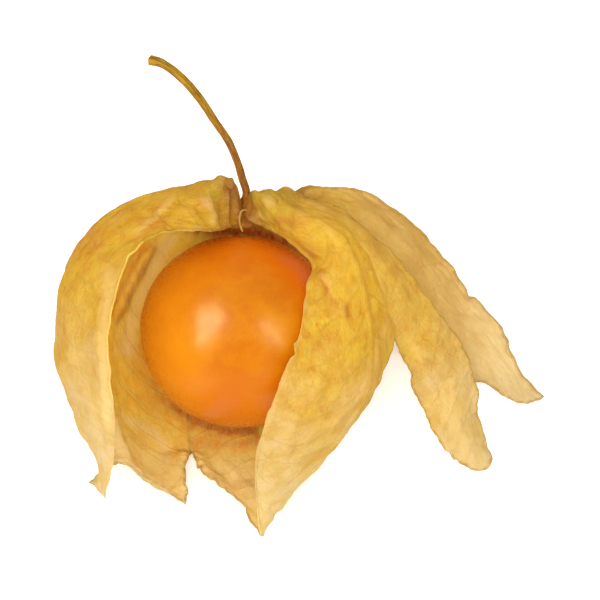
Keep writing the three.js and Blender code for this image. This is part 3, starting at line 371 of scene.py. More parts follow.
# the two lobes that close over the berry's front have clean, unbrowned edges, with a painted highlight along them
# where the edge catches the light
rim_highlight, brown_edge = np.zeros(COUNT), edge.copy()
for l, column in ((lobes[0], 0), (lobes[-1], -1)):
    p = MIDDLE[l["ids"]]
    out = np.linalg.norm(p - p[:, column][:, None], axis=2)
    clean = smooth(V, 0.16, 0.24) * (0.3 + 0.7 * smooth(V, 0.40, 0.54) if l["name"] == "left_lobe" else 1)
    rim_highlight[l["ids"]] = np.maximum(rim_highlight[l["ids"]], bell(out - 0.16, 0.26) * clean[:, None])
    i = l["ids"][out < 0.7]
    brown_edge[i] = np.where(v_of[i] > (0.44 if l["name"] == "left_lobe" else 0.14), 9.0, brown_edge[i])


# ---- folds and creases, as the eye sees them from the camera: places are (x, y) in the 600 by 600 frame of
# the view that the net was laid out in, and each is a rounded ridge (+) or groove (-) of that height in mm
def seen_at(p):
    """Where a point of the net shows in that view."""
    aim = np.array([6.26, 2.53, 13.12])
    right = np.array([1.0, 0, 0])
    up = np.array([0.0, math.sin(math.radians(50)), math.cos(math.radians(50))])
    back = np.array([0.0, -math.cos(math.radians(50)), math.sin(math.radians(50))])
    d = p - aim
    scale = 500 / (500 - d @ back)
    return np.stack([247 + (d @ right) * scale / 0.3475, 422 - (d @ up) * scale / 0.3475], -1)


def seen_place(x, y, near):
    """The point that shows at (x, y) in that view, so many mm nearer the eye than the berry's middle."""
    aim = np.array([6.26, 2.53, 13.12])
    right = np.array([1.0, 0, 0])
    up = np.array([0.0, math.sin(math.radians(50)), math.cos(math.radians(50))])
    back = np.array([0.0, -math.cos(math.radians(50)), math.sin(math.radians(50))])
    lifted = near - (aim - BERRY_CENTRE) @ back
    size = (500 - lifted) / 500 * 0.3475
    return aim + right * (x - 247) * size + up * (422 - y) * size + back * lifted


SEEN = seen_at(MIDDLE)


def from_line(p, line):
    """Distance of points p[., 2] from a line of places, and how far along it each is, 0 to 1."""
    line = np.array(line, float)
    best, share = np.full(len(p), 1e9), np.zeros(len(p))
    total = np.linalg.norm(np.diff(line, axis=0), axis=1).sum()
    run = 0.0
    for a, b in zip(line[:-1], line[1:]):
        d = b - a
        length = np.linalg.norm(d)
        t = np.clip(((p - a) @ d) / length**2, 0, 1)
        gap = np.linalg.norm(p - (a + t[:, None] * d), axis=1)
        closer = gap < best
        best[closer], share[closer] = gap[closer], (run + t[closer] * length) / total
        run += length
    return best, share


FOLDS = [  # lobe, height in mm, width in that frame, least and most share along the lobe, places
    ("left_lobe", 0.30, 1.1, 0.0, 0.45, [(210.3, 389.0), (206.8, 394.2), (203.3, 398.2), (199.2, 402.0), (196.8, 404.5)]),
    ("left_lobe", -0.24, 1.0, 0.0, 0.45, [(212.2, 390.5), (208.8, 395.2), (205.2, 399.4)]),
    ("left_lobe", -0.12, 1.0, 0.0, 0.45, [(205.5, 391.5), (201.0, 396.8), (197.5, 401.0)]),
    ("left_lobe", 0.32, 1.3, 0.0, 0.35, [(217.2, 391.6), (219.2, 393.8), (220.7, 396.2), (220.7, 398.8), (218.6, 400.9)]),
    ("left_lobe", -0.26, 1.2, 0.0, 0.35, [(215.4, 393.4), (217.2, 395.8), (217.6, 398.4)]),
    ("left_lobe", -0.34, 1.1, 0.0, 0.35, [(220.8, 389.0), (222.6, 392.2), (223.3, 395.6), (222.8, 399.2)]),
    ("left_lobe", 0.22, 0.8, 0.0, 0.3, [(224.4, 388.0), (225.0, 392.0), (224.9, 396.0), (224.3, 400.6)]),
    ("left_lobe", -0.26, 0.8, 0.0, 0.3, [(226.2, 388.6), (226.8, 392.6), (226.6, 396.6), (226.0, 400.0)]),
    ("left_lobe", 0.16, 0.7, 0.0, 0.3, [(227.6, 390.0), (228.0, 394.0), (227.7, 398.0)]),
    ("left_lobe", 0.22, 1.2, 0.05, 0.5, [(208.5, 402.2), (212.0, 402.2), (215.6, 401.2), (218.2, 399.8)]),
    ("left_lobe", -0.18, 1.5, 0.05, 0.5, [(206.0, 400.2), (210.0, 399.0), (213.6, 397.0)]),
    ("left_lobe", 0.24, 2.2, 0.25, 0.95, [(194.8, 409.0), (191.6, 417.0), (189.2, 428.0), (188.5, 438.0), (189.0, 450.0), (189.2, 461.0)]),
    ("left_lobe", -0.16, 1.6, 0.30, 0.9, [(187.5, 414.0), (184.8, 425.0), (184.2, 438.0), (186.0, 450.0)]),
    ("left_lobe", 0.12, 1.7, 0.30, 0.9, [(181.0, 414.0), (178.6, 426.0), (179.2, 440.0), (182.5, 453.0)]),
    ("left_lobe", -0.14, 1.1, 0.70, 1.0, [(186.6, 456.0), (188.2, 463.5), (188.6, 470.5), (187.0, 476.0)]),
    ("right_lobe", 0.20, 1.7, 0.1, 0.65, [(253.2, 412.5), (254.6, 416.2), (256.7, 420.2), (258.0, 424.4)]),
    ("right_lobe", -0.24, 1.3, 0.1, 0.65, [(252.6, 415.2), (254.4, 419.4), (256.2, 423.0), (257.6, 425.4)]),
    ("right_lobe", -0.24, 1.3, 0.1, 0.8, [(261.3, 423.2), (262.0, 426.2), (261.6, 429.0)]),
    ("right_lobe", 0.20, 1.2, 0.1, 0.8, [(258.6, 426.8), (259.8, 424.6), (260.8, 422.6)]),
    ("right_lobe", 0.14, 2.0, 0.05, 0.6, [(242.0, 393.6), (250.5, 397.4), (257.8, 402.2), (263.4, 408.4)]),
    ("right_lobe", -0.12, 1.8, 0.05, 0.6, [(240.0, 396.8), (247.5, 400.6), (254.0, 405.6), (259.0, 412.0)]),
    ("right_lobe", -0.14, 1.6, 0.3, 1.0, [(262, 436), (255.5, 449), (247, 463), (240.5, 477)]),
    ("right_lobe", 0.12, 2.0, 0.3, 1.0, [(256, 437), (250, 449), (243.8, 462), (239, 474)]),
    ("right_lobe", 0.12, 1.5, 0.3, 1.0, [(268.5, 441), (262.0, 453), (253.5, 464)]),
    ("right_lobe", 0.16, 1.0, 0.2, 1.0, [(250.6, 414.0), (248.2, 424.0), (245.2, 437.0), (240.6, 449.0), (237.2, 460.0), (234.0, 470.0)]),
    ("under_left_tooth", -0.40, 0.9, 0.10, 0.8, [(204.2, 405.8), (200.6, 411.6), (196.6, 419.6), (192.4, 428.6)]),
    ("under_left_tooth", 0.40, 1.9, 0.10, 0.8, [(207.6, 405.6), (203.2, 413.0), (199.0, 421.5), (196.2, 430.5), (195.4, 438.0)]),
    ("under_left_tooth", 0.20, 1.6, 0.10, 0.8, [(199.6, 409.2), (196.0, 416.0), (193.2, 423.0)]),
    ("under_left_tooth", 0.24, 1.5, 0.45, 1.0, [(193.0, 457.6), (198.2, 459.2), (203.4, 461.8), (206.6, 465.4), (207.0, 469.6)]),
    ("under_left_tooth", -0.10, 2.0, 0.45, 1.0, [(194.5, 462.4), (199.6, 464.6), (202.6, 468.6)]),
    ("under_left_tooth", -0.10, 1.4, 0.45, 1.0, [(203.4, 458.8), (207.4, 461.4), (209.8, 465.4)]),
    ("under_left_tooth", 0.16, 1.3, 0.55, 1.0, [(205.5, 471.0), (209.3, 475.0), (212.2, 479.5)]),
    ("under_right_tooth", 0.18, 1.6, 0.5, 1.0, [(219.5, 468.5), (224.5, 473.8), (230, 481.5), (234, 488.5)]),
    ("under_right_tooth", -0.16, 1.4, 0.5, 1.0, [(222.5, 467.0), (228.0, 472.5), (233.0, 480.0)]),
    ("back_right_lobe", -0.10, 1.6, 0.1, 1.0, [(262, 389.8), (273.5, 396.4), (284.5, 407), (293.5, 419.5), (301, 433), (309, 446)]),
    ("back_right_lobe", 0.16, 1.8, 0.1, 1.0, [(260, 392.3), (271, 399), (281.3, 409.5), (290, 422), (297.5, 436)]),
    ("torn_strip", -0.12, 1.5, 0.1, 1.0, [(258.5, 397.8), (268, 404.8), (277.6, 417), (284.8, 432), (290.8, 449), (297.5, 464)]),
    ("torn_strip", 0.14, 1.4, 0.3, 1.0, [(273.5, 420.5), (280.5, 434.0), (286.5, 448.5), (292.8, 461.5)]),
]

# stains in the tissue, and painted shade and light, placed the same way; kinds: 0 browned outside, painted orange glow
# and shade inside; 1 bleached, also painted light; 2 deep red-brown, also painted shade
STAINS_AND_PAINTED_LIGHT = [  # lobe, inside (1) or outside (0), kind, strength, width, places
    # painted shadow: the dark red band in the shade under the right lobe's edge, over the berry's top (these three
    # rows)
    ("under_right_tooth", 1, 2, 1.00, 2.3, [(221.0, 401.4), (226.0, 401.0), (232.0, 401.6), (238.0, 403.0), (245.0, 406.0)]),
    ("under_left_tooth", 1, 2, 0.80, 1.6, [(214.0, 400.5), (219.0, 401.0), (223.0, 401.0)]),
    ("back_right_lobe", 1, 2, 0.90, 2.2, [(238.0, 402.4), (245.0, 406.0), (249.0, 410.0)]),
    ("left_lobe", 0, 0, 0.62, 3.0, [(224.6, 387.6), (225.6, 393.0), (225.2, 400.0)]),
    ("left_lobe", 0, 2, 0.75, 1.1, [(225.4, 388.6), (225.9, 390.4)]),
    # painted highlight along a ridge of the left lobe
    ("left_lobe", 0, 1, 0.20, 0.8, [(217.3, 391.6), (219.4, 393.8), (220.6, 396.0), (220.0, 399.0)]),
    ("left_lobe", 0, 0, 0.42, 3.4, [(186.0, 402.0), (182.5, 408.0)]),
    ("left_lobe", 0, 0, 0.34, 1.6, [(196.5, 394.5), (190.0, 400.0), (186.0, 405.0)]),
    ("left_lobe", 0, 0, 0.30, 1.5, [(205.5, 398.0), (201.5, 401.5), (197.5, 405.5)]),
    ("left_lobe", 0, 1, 0.35, 2.0, [(189.6, 414.0), (189.0, 430.0), (189.4, 446.0), (189.8, 460.0)]),
    # painted shade: the crease under the left lobe's edge and the shaded band beside it
    ("under_left_tooth", 1, 2, 0.62, 0.65, [(203.6, 406.6), (200.2, 411.8), (196.2, 419.8), (192.2, 428.9)]),
    ("under_left_tooth", 1, 0, 0.72, 2.2, [(200.6, 406.0), (197.0, 412.0), (193.4, 419.5), (190.6, 426.0)]),
    # painted light: the lit pale strip of the inner wall beside the berry
    ("under_left_tooth", 1, 1, 0.95, 2.3, [(207.8, 404.0), (203.8, 412.0), (199.8, 420.5), (196.6, 429.0), (195.0, 437.0)]),
    ("under_left_tooth", 1, 0, 0.22, 3.2, [(191.5, 440.0), (194.0, 448.0), (199.5, 456.0)]),
    ("under_left_tooth", 1, 1, 0.60, 1.4, [(193.4, 456.6), (198.4, 458.4), (203.4, 461.4), (206.8, 465.6), (206.8, 470.0)]),
    ("under_left_tooth", 1, 0, 0.25, 2.0, [(208.6, 470.0), (211.6, 466.4), (214.0, 463.4)]),
    # painted shade and orange glow where the berry sits on the husk, following its outline (rows from here to the last
    # under_right_tooth row)
    ("under_left_tooth", 1, 0, 0.36, 2.0, [(200.2, 440.6), (202.0, 444.8), (204.6, 448.8)]),
    ("under_left_tooth", 1, 0, 0.62, 2.0, [(203.8, 447.6), (206.0, 450.8), (208.4, 453.0)]),
    ("under_left_tooth", 1, 2, 0.14, 1.5, [(205.2, 449.6), (207.4, 452.2), (209.6, 454.0)]),
    ("under_left_tooth", 1, 2, 0.27, 1.8, [(209.2, 453.8), (210.5, 454.8), (216.4, 458.5), (224.1, 460.9)]),
    ("under_left_tooth", 1, 0, 0.90, 2.2, [(208.8, 453.4), (210.5, 454.8), (216.4, 458.5), (224.1, 460.9)]),
    ("under_left_tooth", 1, 0, 0.55, 4.6, [(197.5, 436.1), (200.8, 445.8), (206.1, 453.1), (213.2, 458.6), (222.7, 462.3)]),
    ("under_right_tooth", 1, 2, 0.30, 1.8, [(214.1, 457.3), (220.0, 459.9), (226.3, 461.2), (233.3, 461.2)]),
    ("under_right_tooth", 1, 0, 0.95, 2.2, [(214.1, 457.3), (220.0, 459.9), (226.3, 461.2), (233.3, 461.2)]),
    ("under_right_tooth", 1, 0, 0.62, 4.0, [(213.3, 458.5), (222.8, 462.1), (232.9, 462.6)]),
    ("under_right_tooth", 1, 0, 0.74, 2.4, [(215.0, 463.6), (222.0, 465.2), (231.0, 464.8), (238.0, 463.0)]),
    # painted shade in the right lobe's crease
    ("right_lobe", 0, 0, 0.62, 0.9, [(253.4, 413.4), (255.4, 419.4), (257.8, 424.0)]),
    ("right_lobe", 0, 0, 0.78, 1.1, [(261.0, 424.2), (261.6, 426.4)]),
    ("right_lobe", 0, 0, 0.36, 2.0, [(255.8, 432.8), (258.6, 434.6)]),
    ("right_lobe", 0, 0, 0.32, 1.8, [(252.4, 435.0), (250.0, 440.0)]),
    ("right_lobe", 0, 0, 0.30, 1.5, [(247.6, 404.6), (252.0, 407.4)]),
    ("right_lobe", 0, 0, 0.30, 1.6, [(240.0, 398.2), (244.6, 399.6)]),
    ("torn_strip", 0, 1, 0.50, 2.6, [(290.0, 448.0), (293.0, 458.0), (297.0, 466.0)]),
    ("back_right_lobe", 1, 1, 0.42, 2.6, [(277.0, 402.0), (284.0, 410.0), (290.0, 418.0)]),
]
normals = vertex_normals(MIDDLE, QUADS)
stain_and_painted_light = np.zeros((2 * COUNT, 3))
for lobe, inside, kind, strength, width, places in STAINS_AND_PAINTED_LIGHT:
    mine = np.where(lobe_of == NAMES.index(lobe))[0]
    gap, _ = from_line(SEEN[mine], places)
    rough_edge = 1 + 0.35 * noise(MIDDLE[mine] / 0.9, 83)
    at_ = mine + inside * COUNT
    stain_and_painted_light[at_, kind] = np.maximum(stain_and_painted_light[at_, kind], strength * bell(gap, width * rough_edge))
lift = np.zeros(COUNT)
relief_light_shade = np.zeros(COUNT)  # + on the ridges, - in the creases, for the material: painted light on the ridges, painted shade in the creases
W3 = MIDDLE
# broad cockling, then papery crumpling, drawn out along the veins
lift += 0.20 * noise(W3 / 6.2, 1) + 0.12 * noise(W3 / 3.1, 2)
flat = np.concatenate([lay, (lobe_of * 31.7)[:, None]], 1)
crumple = fractal(flat / np.array([1.15, 2.9, 1.0]), 3, 11)
dents = np.abs(noise(flat / np.array([1.9, 3.2, 1.0]), 17))  # sharp little valleys where it is nought
puckers = np.abs(noise(flat / np.array([0.8, 1.1, 1.0]), 19))
lift += 0.10 * crumple + 0.12 * dents + 0.055 * puckers
# main ribs stand proud with a slight hollow on either side, secondaries are finer
fade = smooth(v_of, 0.02, 0.1) * (1 - 0.55 * smooth(v_of, 0.75, 1.0))
lift += fade * (0.13 * bell(rib, 0.24) - 0.04 * bell(rib - 0.7, 0.35))
line = np.abs(vein - np.round(vein)) * 3.3
lift += fade * 0.055 * bell(line, 0.2) * smooth(rib, 0.1, 0.6)
# the sheet between the veins is slightly pillowed
lift += fade * 0.05 * np.cos(np.pi * np.clip(line / 1.65, 0, 1)) * -1 * smooth(rib, 0.3, 1.4)
# gathers round the stalk
around = np.arctan2(W3[:, 0] - STALK_JOINT[0], (W3 - STALK_JOINT) @ np.array([0, -HUSK_AXIS[2], HUSK_AXIS[1]]))
gather = np.sin(around * 15 + 2.2 * noise(W3 / 2.3, 23)) * 0.5 + 0.5 * np.sin(around * 27 + 3 * noise(W3 / 1.7, 29))
pinched = smooth(v_of, 0.012, 0.05) * (1 - smooth(v_of, 0.09, 0.24))
lift += 0.19 * gather * pinched
# painted light on the gathers' crests and painted shade between them
relief_light_shade += 0.9 * gather * pinched
# free edges wave and curl
wave = noise(W3 / 2.1, 31) + 0.6 * noise(W3 / 1.0, 37)
tips = 0.6 + 0.8 * smooth(v_of, 0.5, 1.0)
lift += 0.24 * tips * wave * bell(edge, 1.0) * smooth(v_of, 0.1, 0.3)
for lobe, height, width, low, high, places in FOLDS:
    mine = (lobe_of == NAMES.index(lobe)) & (v_of >= low - 0.02) & (v_of <= high + 0.02)
    gap, share = from_line(SEEN[mine], places)
    ends = smooth(share, -0.02, 0.22) * (1 - smooth(share, 0.78, 1.02))
    lift[mine] += height * bell(gap, width) * ends
    # painted light along each ridge and painted shade along each groove
    relief_light_shade[mine] += np.clip(height / 0.3, -1, 1) * bell(gap, width * 0.9) * ends
# the narrow tips stay calm
grainy = 0.55 * crumple - 1.1 * (0.28 - dents) - 0.5 * (0.25 - puckers)
# painted light on the crumples' crests and painted shade in their dents
relief_light_shade += 0.5 * np.clip(grainy, -1, 1) * smooth(v_of, 0.05, 0.15)
lift *= 1 - 0.45 * smooth(v_of, 0.93, 1.0)
lift *= smooth(v_of, 0.0, 0.02) * 0.9 + 0.1

sheet = MIDDLE + normals * lift[:, None]


def settle(z):
    """Where the sheet lies on the surface it is pressed flat, with a little of its waviness left."""
    low, high, rest = 0.5, 1.6, HUSK_T / 2 + 0.012
    t = np.clip((z - low) / (high - low), 0, 1)
    span = high - low
    curve = (2 * t**3 - 3 * t**2 + 1) * rest + (-2 * t**3 + 3 * t**2) * high + (t**3 - t**2) * span
    return np.where(z <= low, rest + 0.05 * np.clip(z, 0, low) / low, np.where(z >= high, z, curve + 0.05 * (1 - t)))


def clear_of_berry(p, least):
    d = p - BERRY_CENTRE
    a = d @ BERRY_AXIS
    r2 = np.maximum((d**2).sum(-1) - a * a, 0)
    k_ = np.sqrt(r2 / BERRY_R**2 + (a / BERRY_POLE) ** 2)
    length = np.linalg.norm(d, axis=-1)
    gap = length * (1 - 1 / k_)
    push = np.maximum(least - gap, 0)
    return p + d / length[:, None] * push[:, None]


sheet[:, 2] = np.where(v_of > 0.2, settle(sheet[:, 2]), sheet[:, 2])
far = v_of > 0.13
sheet[far] = clear_of_berry(sheet[far], HUSK_CLEAR)
normals = vertex_normals(sheet, QUADS)
# thin towards the free edges
thick = HUSK_T * (0.62 + 0.38 * smooth(edge, 0.0, 0.5)) * (1 + 0.9 * fade * bell(rib, 0.3))
outer = sheet + normals * (thick / 2)[:, None]
inner = sheet - normals * (thick / 2)[:, None]
outer[:, 2] = np.maximum(outer[:, 2], 0.004)
inner[:, 2] = np.maximum(inner[:, 2], 0.004)

husk_points = np.concatenate([outer, inner])
faces = QUADS.tolist() + (QUADS[:, ::-1] + COUNT).tolist()
seen_edges = {}
for q_ in QUADS.tolist():
    for a_, b_ in zip(q_, q_[1:] + q_[:1]):
        if a_ != b_:
            seen_edges[(a_, b_)] = True
rims = [(a_, b_) for (a_, b_) in seen_edges if (b_, a_) not in seen_edges]
faces += [[b_, a_, a_ + COUNT, b_ + COUNT] for a_, b_ in rims]

# a torn fibre of the husk hangs loose beside the stalk
FIBRES = [
    ([(232.9, 396.0, 1.7), (231.2, 395.1, 2.6), (229.6, 395.2, 2.8), (228.9, 397.0, 3.2), (229.0, 399.2, 3.4),
      (229.8, 401.6, 3.8)], 0.115),
    ([(229.2, 396.2, 3.0), (227.9, 397.4, 3.1), (226.6, 397.2, 2.9), (225.8, 398.6, 3.0)], 0.075),
]
fibre_points, fibre_faces = [], []
for places, width in FIBRES:
    knots = np.array([seen_place(*q_) for q_ in places])
    t = np.linspace(0, len(knots) - 1, 40)
    slopes = np.gradient(knots, axis=0)
    j = np.clip(t.astype(int), 0, len(knots) - 2)
    path = hermite(t - j, knots[j], knots[j + 1], slopes[j], slopes[j + 1])
    ahead = np.gradient(path, axis=0)
    ahead /= np.linalg.norm(ahead, axis=1, keepdims=True)
    one = np.cross(ahead, [0.3, 0.2, 1.0])
    one /= np.linalg.norm(one, axis=1, keepdims=True)
    two = np.cross(ahead, one)
    taper = (0.35 + 0.65 * np.sqrt(np.clip(1 - (2 * np.linspace(0, 1, 40) - 1) ** 6, 0, 1))) * (1 + 0.2 * line_noise(t * 2, 71))
    turn_ = np.linspace(0, 2 * np.pi, 10, endpoint=False)
    ring = (one[:, None] * np.cos(turn_)[None, :, None] + 0.55 * two[:, None] * np.sin(turn_)[None, :, None])
    tube_ = path[:, None] + ring * (width * taper)[:, None, None]
    at = len(husk_points) + sum(len(x_) for x_ in fibre_points)
    fibre_points.append(np.concatenate([tube_.reshape(-1, 3), path[:1], path[-1:]]))
    for i in range(39):
        fibre_faces += [[at + i * 10 + a_, at + i * 10 + (a_ + 1) % 10, at + i * 10 + 10 + (a_ + 1) % 10, at + i * 10 + 10 + a_] for a_ in range(10)]
    fibre_faces += [[at + 400, at + (a_ + 1) % 10, at + a_] for a_ in range(10)]
    fibre_faces += [[at + 401, at + 390 + a_, at + 390 + (a_ + 1) % 10] for a_ in range(10)]
fibre_points = np.concatenate(fibre_points)
husk_points = np.concatenate([husk_points, fibre_points])
faces += fibre_faces


def with_fibre(values, own_value):
    """Adds the fibre's own value for each of its points."""
    return np.concatenate([values, np.broadcast_to(np.asarray(own_value, float), (len(fibre_points),) + values.shape[1:])])


husk = new_object("husk_skin", husk_points, faces)
mesh = husk.data
# the paper's cut rim stays crisp
rim_keys = {(min(a_, b_), max(a_, b_)) for a_, b_ in rims}
rim_keys |= {(a_ + COUNT, b_ + COUNT) for a_, b_ in rim_keys}
pairs = np.zeros(len(mesh.edges) * 2, int)
mesh.edges.foreach_get("vertices", pairs)
sharp = [(min(a_, b_), max(a_, b_)) in rim_keys for a_, b_ in pairs.reshape(-1, 2).tolist()]
mesh.attributes.new("sharp_edge", "BOOLEAN", "EDGE").data.foreach_set("value", sharp)
twice = lambda a_: np.concatenate([a_, a_])  # noqa: E731
keep_values(husk, "stain_and_painted_light", with_fibre(stain_and_painted_light, (0, 0, 0)))
keep_values(husk, "lay", with_fibre(twice(flat), (0, 0, 0)))
keep_values(husk, "vein", with_fibre(twice(np.stack([rib, vein, brown_edge], 1)), (9.0, 0.5, 9.0)))
pink = np.array([LOBES[n_]["pink"] for n_ in NAMES])[lobe_of]
side = np.concatenate([np.zeros(COUNT), np.ones(COUNT)])
# painted highlight along the front lobes' clean edges
relief_light_shade += 0.28 * rim_highlight
keep_values(husk, "relief_light_shade", with_fibre(twice(np.clip(relief_light_shade, -1.2, 1.2)), 0.3))
keep_values(husk, "grown", with_fibre(np.stack([twice(v_of), side, twice(pink)], 1), (0.5, 0.0, 0.2)))
print("husk:", len(husk_points), "points,", 2 * len(QUADS) * 2 + 2 * len(rims), "triangles")


# ---------------------------------------------------------------- the berry
def turned(local):
    """From the berry's own axes, Y towards the stalk, to the net's."""
    y = BERRY_AXIS
    x = np.array([1.0, 0, 0])
    z = np.cross(x, y)
    return BERRY_CENTRE + local[..., 0:1] * x + local[..., 1:2] * y + local[..., 2:3] * z


ROUND, DOWN = 288, 168
polar = np.linspace(0, np.pi, DOWN + 1)[1:-1]
turn = np.linspace(0, 2 * np.pi, ROUND, endpoint=False)
direction = np.concatenate([
    [[0, 1, 0]],
    np.stack([
        np.sin(polar)[:, None] * np.cos(turn), np.cos(polar)[:, None] + 0 * turn, np.sin(polar)[:, None] * np.sin(turn)
    ], -1).reshape(-1, 3),
    [[0, -1, 0]],
])
r = BERRY_R * np.hypot(direction[:, 0], direction[:, 2])
skin = direction * np.array([BERRY_R, BERRY_POLE, BERRY_R])
skin[:, 1] += np.where(direction[:, 1] > 0, -0.35 * bell(r, 1.9), 0.12 * bell(r, 0.6) - 0.03 * bell(r - 0.75, 0.3))
swell = 0.055 * noise(direction * 1.7, 41) + 0.022 * noise(direction * 4.1, 43) + 0.006 * noise(direction * 11, 47)
swell += 0.012 * np.cos(np.arctan2(direction[:, 2], direction[:, 0]) * 10) * bell(r, 3.2)
skin += direction * (swell - 0.03)[:, None]
faces = [[0, 1 + (j + 1) % ROUND, 1 + j] for j in range(ROUND)]
for i in range(DOWN - 2):
    a = 1 + i * ROUND
    for j in range(ROUND):
        k = (j + 1) % ROUND
        faces.append([a + j, a + k, a + ROUND + k, a + ROUND + j])
end = len(direction) - 1
faces += [[end, 1 + (DOWN - 2) * ROUND + j, 1 + (DOWN - 2) * ROUND + (j + 1) % ROUND] for j in range(ROUND)]
berry = new_object("berry_skin", turned(skin), faces)
keep_values(berry, "skin", direction)

# ---------------------------------------------------------------- the stalk
ROUTE = np.array([
    (0, 8.147, 17.9), (0, 8.71, 18.34), (0, 9.89, 19.27), (0.67, 10.42, 20.66), (0.21, 12.18, 21.35),
    (-0.25, 13.91, 21.76), (-1.18, 16.7, 21.88), (-2.64, 19.67, 21.76), (-4.49, 23.49, 21.58),
    (-6.69, 26.77, 21.45), (-8.54, 28.67, 21.22), (-9.66, 29.32, 20.98)])


def centripetal(knots, count):
    """A Catmull-Rom curve through the knots, spaced evenly along it."""
    p = np.vstack([2 * knots[0] - knots[1], knots, 2 * knots[-1] - knots[-2]])
    t = np.concatenate([[0], np.cumsum(np.linalg.norm(np.diff(p, axis=0), axis=1) ** 0.5)])
    out = []
    for i in range(1, len(p) - 2):
        x = np.linspace(t[i], t[i + 1], 60, endpoint=False)[:, None]
        a1 = (t[i] - x) / (t[i] - t[i - 1]) * p[i - 1] + (x - t[i - 1]) / (t[i] - t[i - 1]) * p[i]
        a2 = (t[i + 1] - x) / (t[i + 1] - t[i]) * p[i] + (x - t[i]) / (t[i + 1] - t[i]) * p[i + 1]
        a3 = (t[i + 2] - x) / (t[i + 2] - t[i + 1]) * p[i + 1] + (x - t[i + 1]) / (t[i + 2] - t[i + 1]) * p[i + 2]
        b1 = (t[i + 1] - x) / (t[i + 1] - t[i - 1]) * a1 + (x - t[i - 1]) / (t[i + 1] - t[i - 1]) * a2
        b2 = (t[i + 2] - x) / (t[i + 2] - t[i]) * a2 + (x - t[i]) / (t[i + 2] - t[i]) * a3
        out.append((t[i + 1] - x) / (t[i + 1] - t[i]) * b1 + (x - t[i]) / (t[i + 1] - t[i]) * b2)
    fine = np.vstack(out + [knots[-1:]])
    s = np.concatenate([[0], np.cumsum(np.linalg.norm(np.diff(fine, axis=0), axis=1))])
    even = np.linspace(0, s[-1], count)
    return np.stack([np.interp(even, s, fine[:, i]) for i in range(3)], 1), even


def tube(path, radius, sides, ends=6):
    """Rings along a path, closed by rounded ends. Returns points, faces, and each point's place: run, turn, share of the radius."""
    ahead = np.gradient(path, axis=0)
    ahead /= np.linalg.norm(ahead, axis=1, keepdims=True)
    side = np.cross(ahead[0], [0, 0, 1.0])
    side /= np.linalg.norm(side)
    sides_at = []
    for d in ahead:
        side = side - d * (side @ d)
        side /= np.linalg.norm(side)
        sides_at.append(side)
    sides_at = np.array(sides_at)
    over = np.cross(ahead, sides_at)
    turn = np.linspace(0, 2 * np.pi, sides, endpoint=False)
    run = np.concatenate([[0], np.cumsum(np.linalg.norm(np.diff(path, axis=0), axis=1))])
    rings, places = [], []

    def ring(i, share, out):
        r = radius(run[i], turn) * share
        rings.append(
            path[i] + ahead[i] * out + np.cos(turn)[:, None] * sides_at[i] * r[:, None]
            + np.sin(turn)[:, None] * over[i] * r[:, None])
        places.append(np.stack([np.full(sides, run[i] + out), turn, np.full(sides, share)], 1))

    for j in range(1, ends):
        ring(0, j / ends, 0.0)
    for i in range(len(path)):
        ring(i, 1.0, 0.0)
    for j in range(ends - 1, 0, -1):
        ring(len(path) - 1, j / ends, 0.05 * (1 - (j / ends) ** 4))
    n = len(rings)
    points = np.vstack(rings + [path[:1], path[-1:] + ahead[-1:] * 0.03])
    places = np.vstack(places + [[[0, 0, 0]], [[run[-1], 0, 0]]])
    faces = []
    for i in range(n - 1):
        for j in range(sides):
            k = (j + 1) % sides
            faces.append([i * sides + j, i * sides + k, (i + 1) * sides + k, (i + 1) * sides + j])
    for j in range(sides):
        k = (j + 1) % sides
        faces.append([n * sides, k, j])
        faces.append([n * sides + 1, (n - 1) * sides + j, (n - 1) * sides + k])
    return points, faces, places


stalk_path, stalk_run = centripetal(ROUTE, 330)
WHOLE = stalk_run[-1]
STALK_R = [(0, 0.70), (0.12, 0.98), (0.3, 1.14), (0.55, 1.12), (0.9, 0.96), (1.3, 0.88), (1.75, 0.80), (2.2, 0.62),
           (2.9, 0.46), (4.2, 0.40), (9, 0.39), (15, 0.41), (20, 0.44), (24, 0.46), (WHOLE - 1.2, 0.49), (WHOLE, 0.55)]


def stalk_radius(s, turn):
    base = np.interp(s, [a for a, _ in STALK_R], [b for _, b in STALK_R])
    twist = turn + 0.035 * s
    ridge = np.cos(5 * twist)
    p = np.stack([np.cos(turn) * 1.4, np.sin(turn) * 1.4, np.full_like(turn, s / 1.3)], -1)
    fine = np.stack([np.cos(turn) * 3.2, np.sin(turn) * 3.2, np.full_like(turn, s / 2.6)], -1)
    return base * (1 + 0.075 * ridge + 0.06 * noise(p, 61) + 0.045 * noise(fine, 67))


points, faces, places = tube(stalk_path, stalk_radius, 44)
stalk = new_object("stalk_skin", points, faces)
keep_values(stalk, "along", np.stack([places[:, 0] / WHOLE, places[:, 1], places[:, 2]], 1))
keep_values(stalk, "grain", np.stack([np.cos(places[:, 1]) * 0.45, np.sin(places[:, 1]) * 0.45, places[:, 0]], 1))


# ---------------------------------------------------------------- materials
def linear(code):
    rgb = [int(code[i : i + 2], 16) / 255 for i in (1, 3, 5)]
    return tuple(c / 12.92 if c <= 0.04045 else ((c + 0.055) / 1.055) ** 2.4 for c in rgb) + (1.0,)


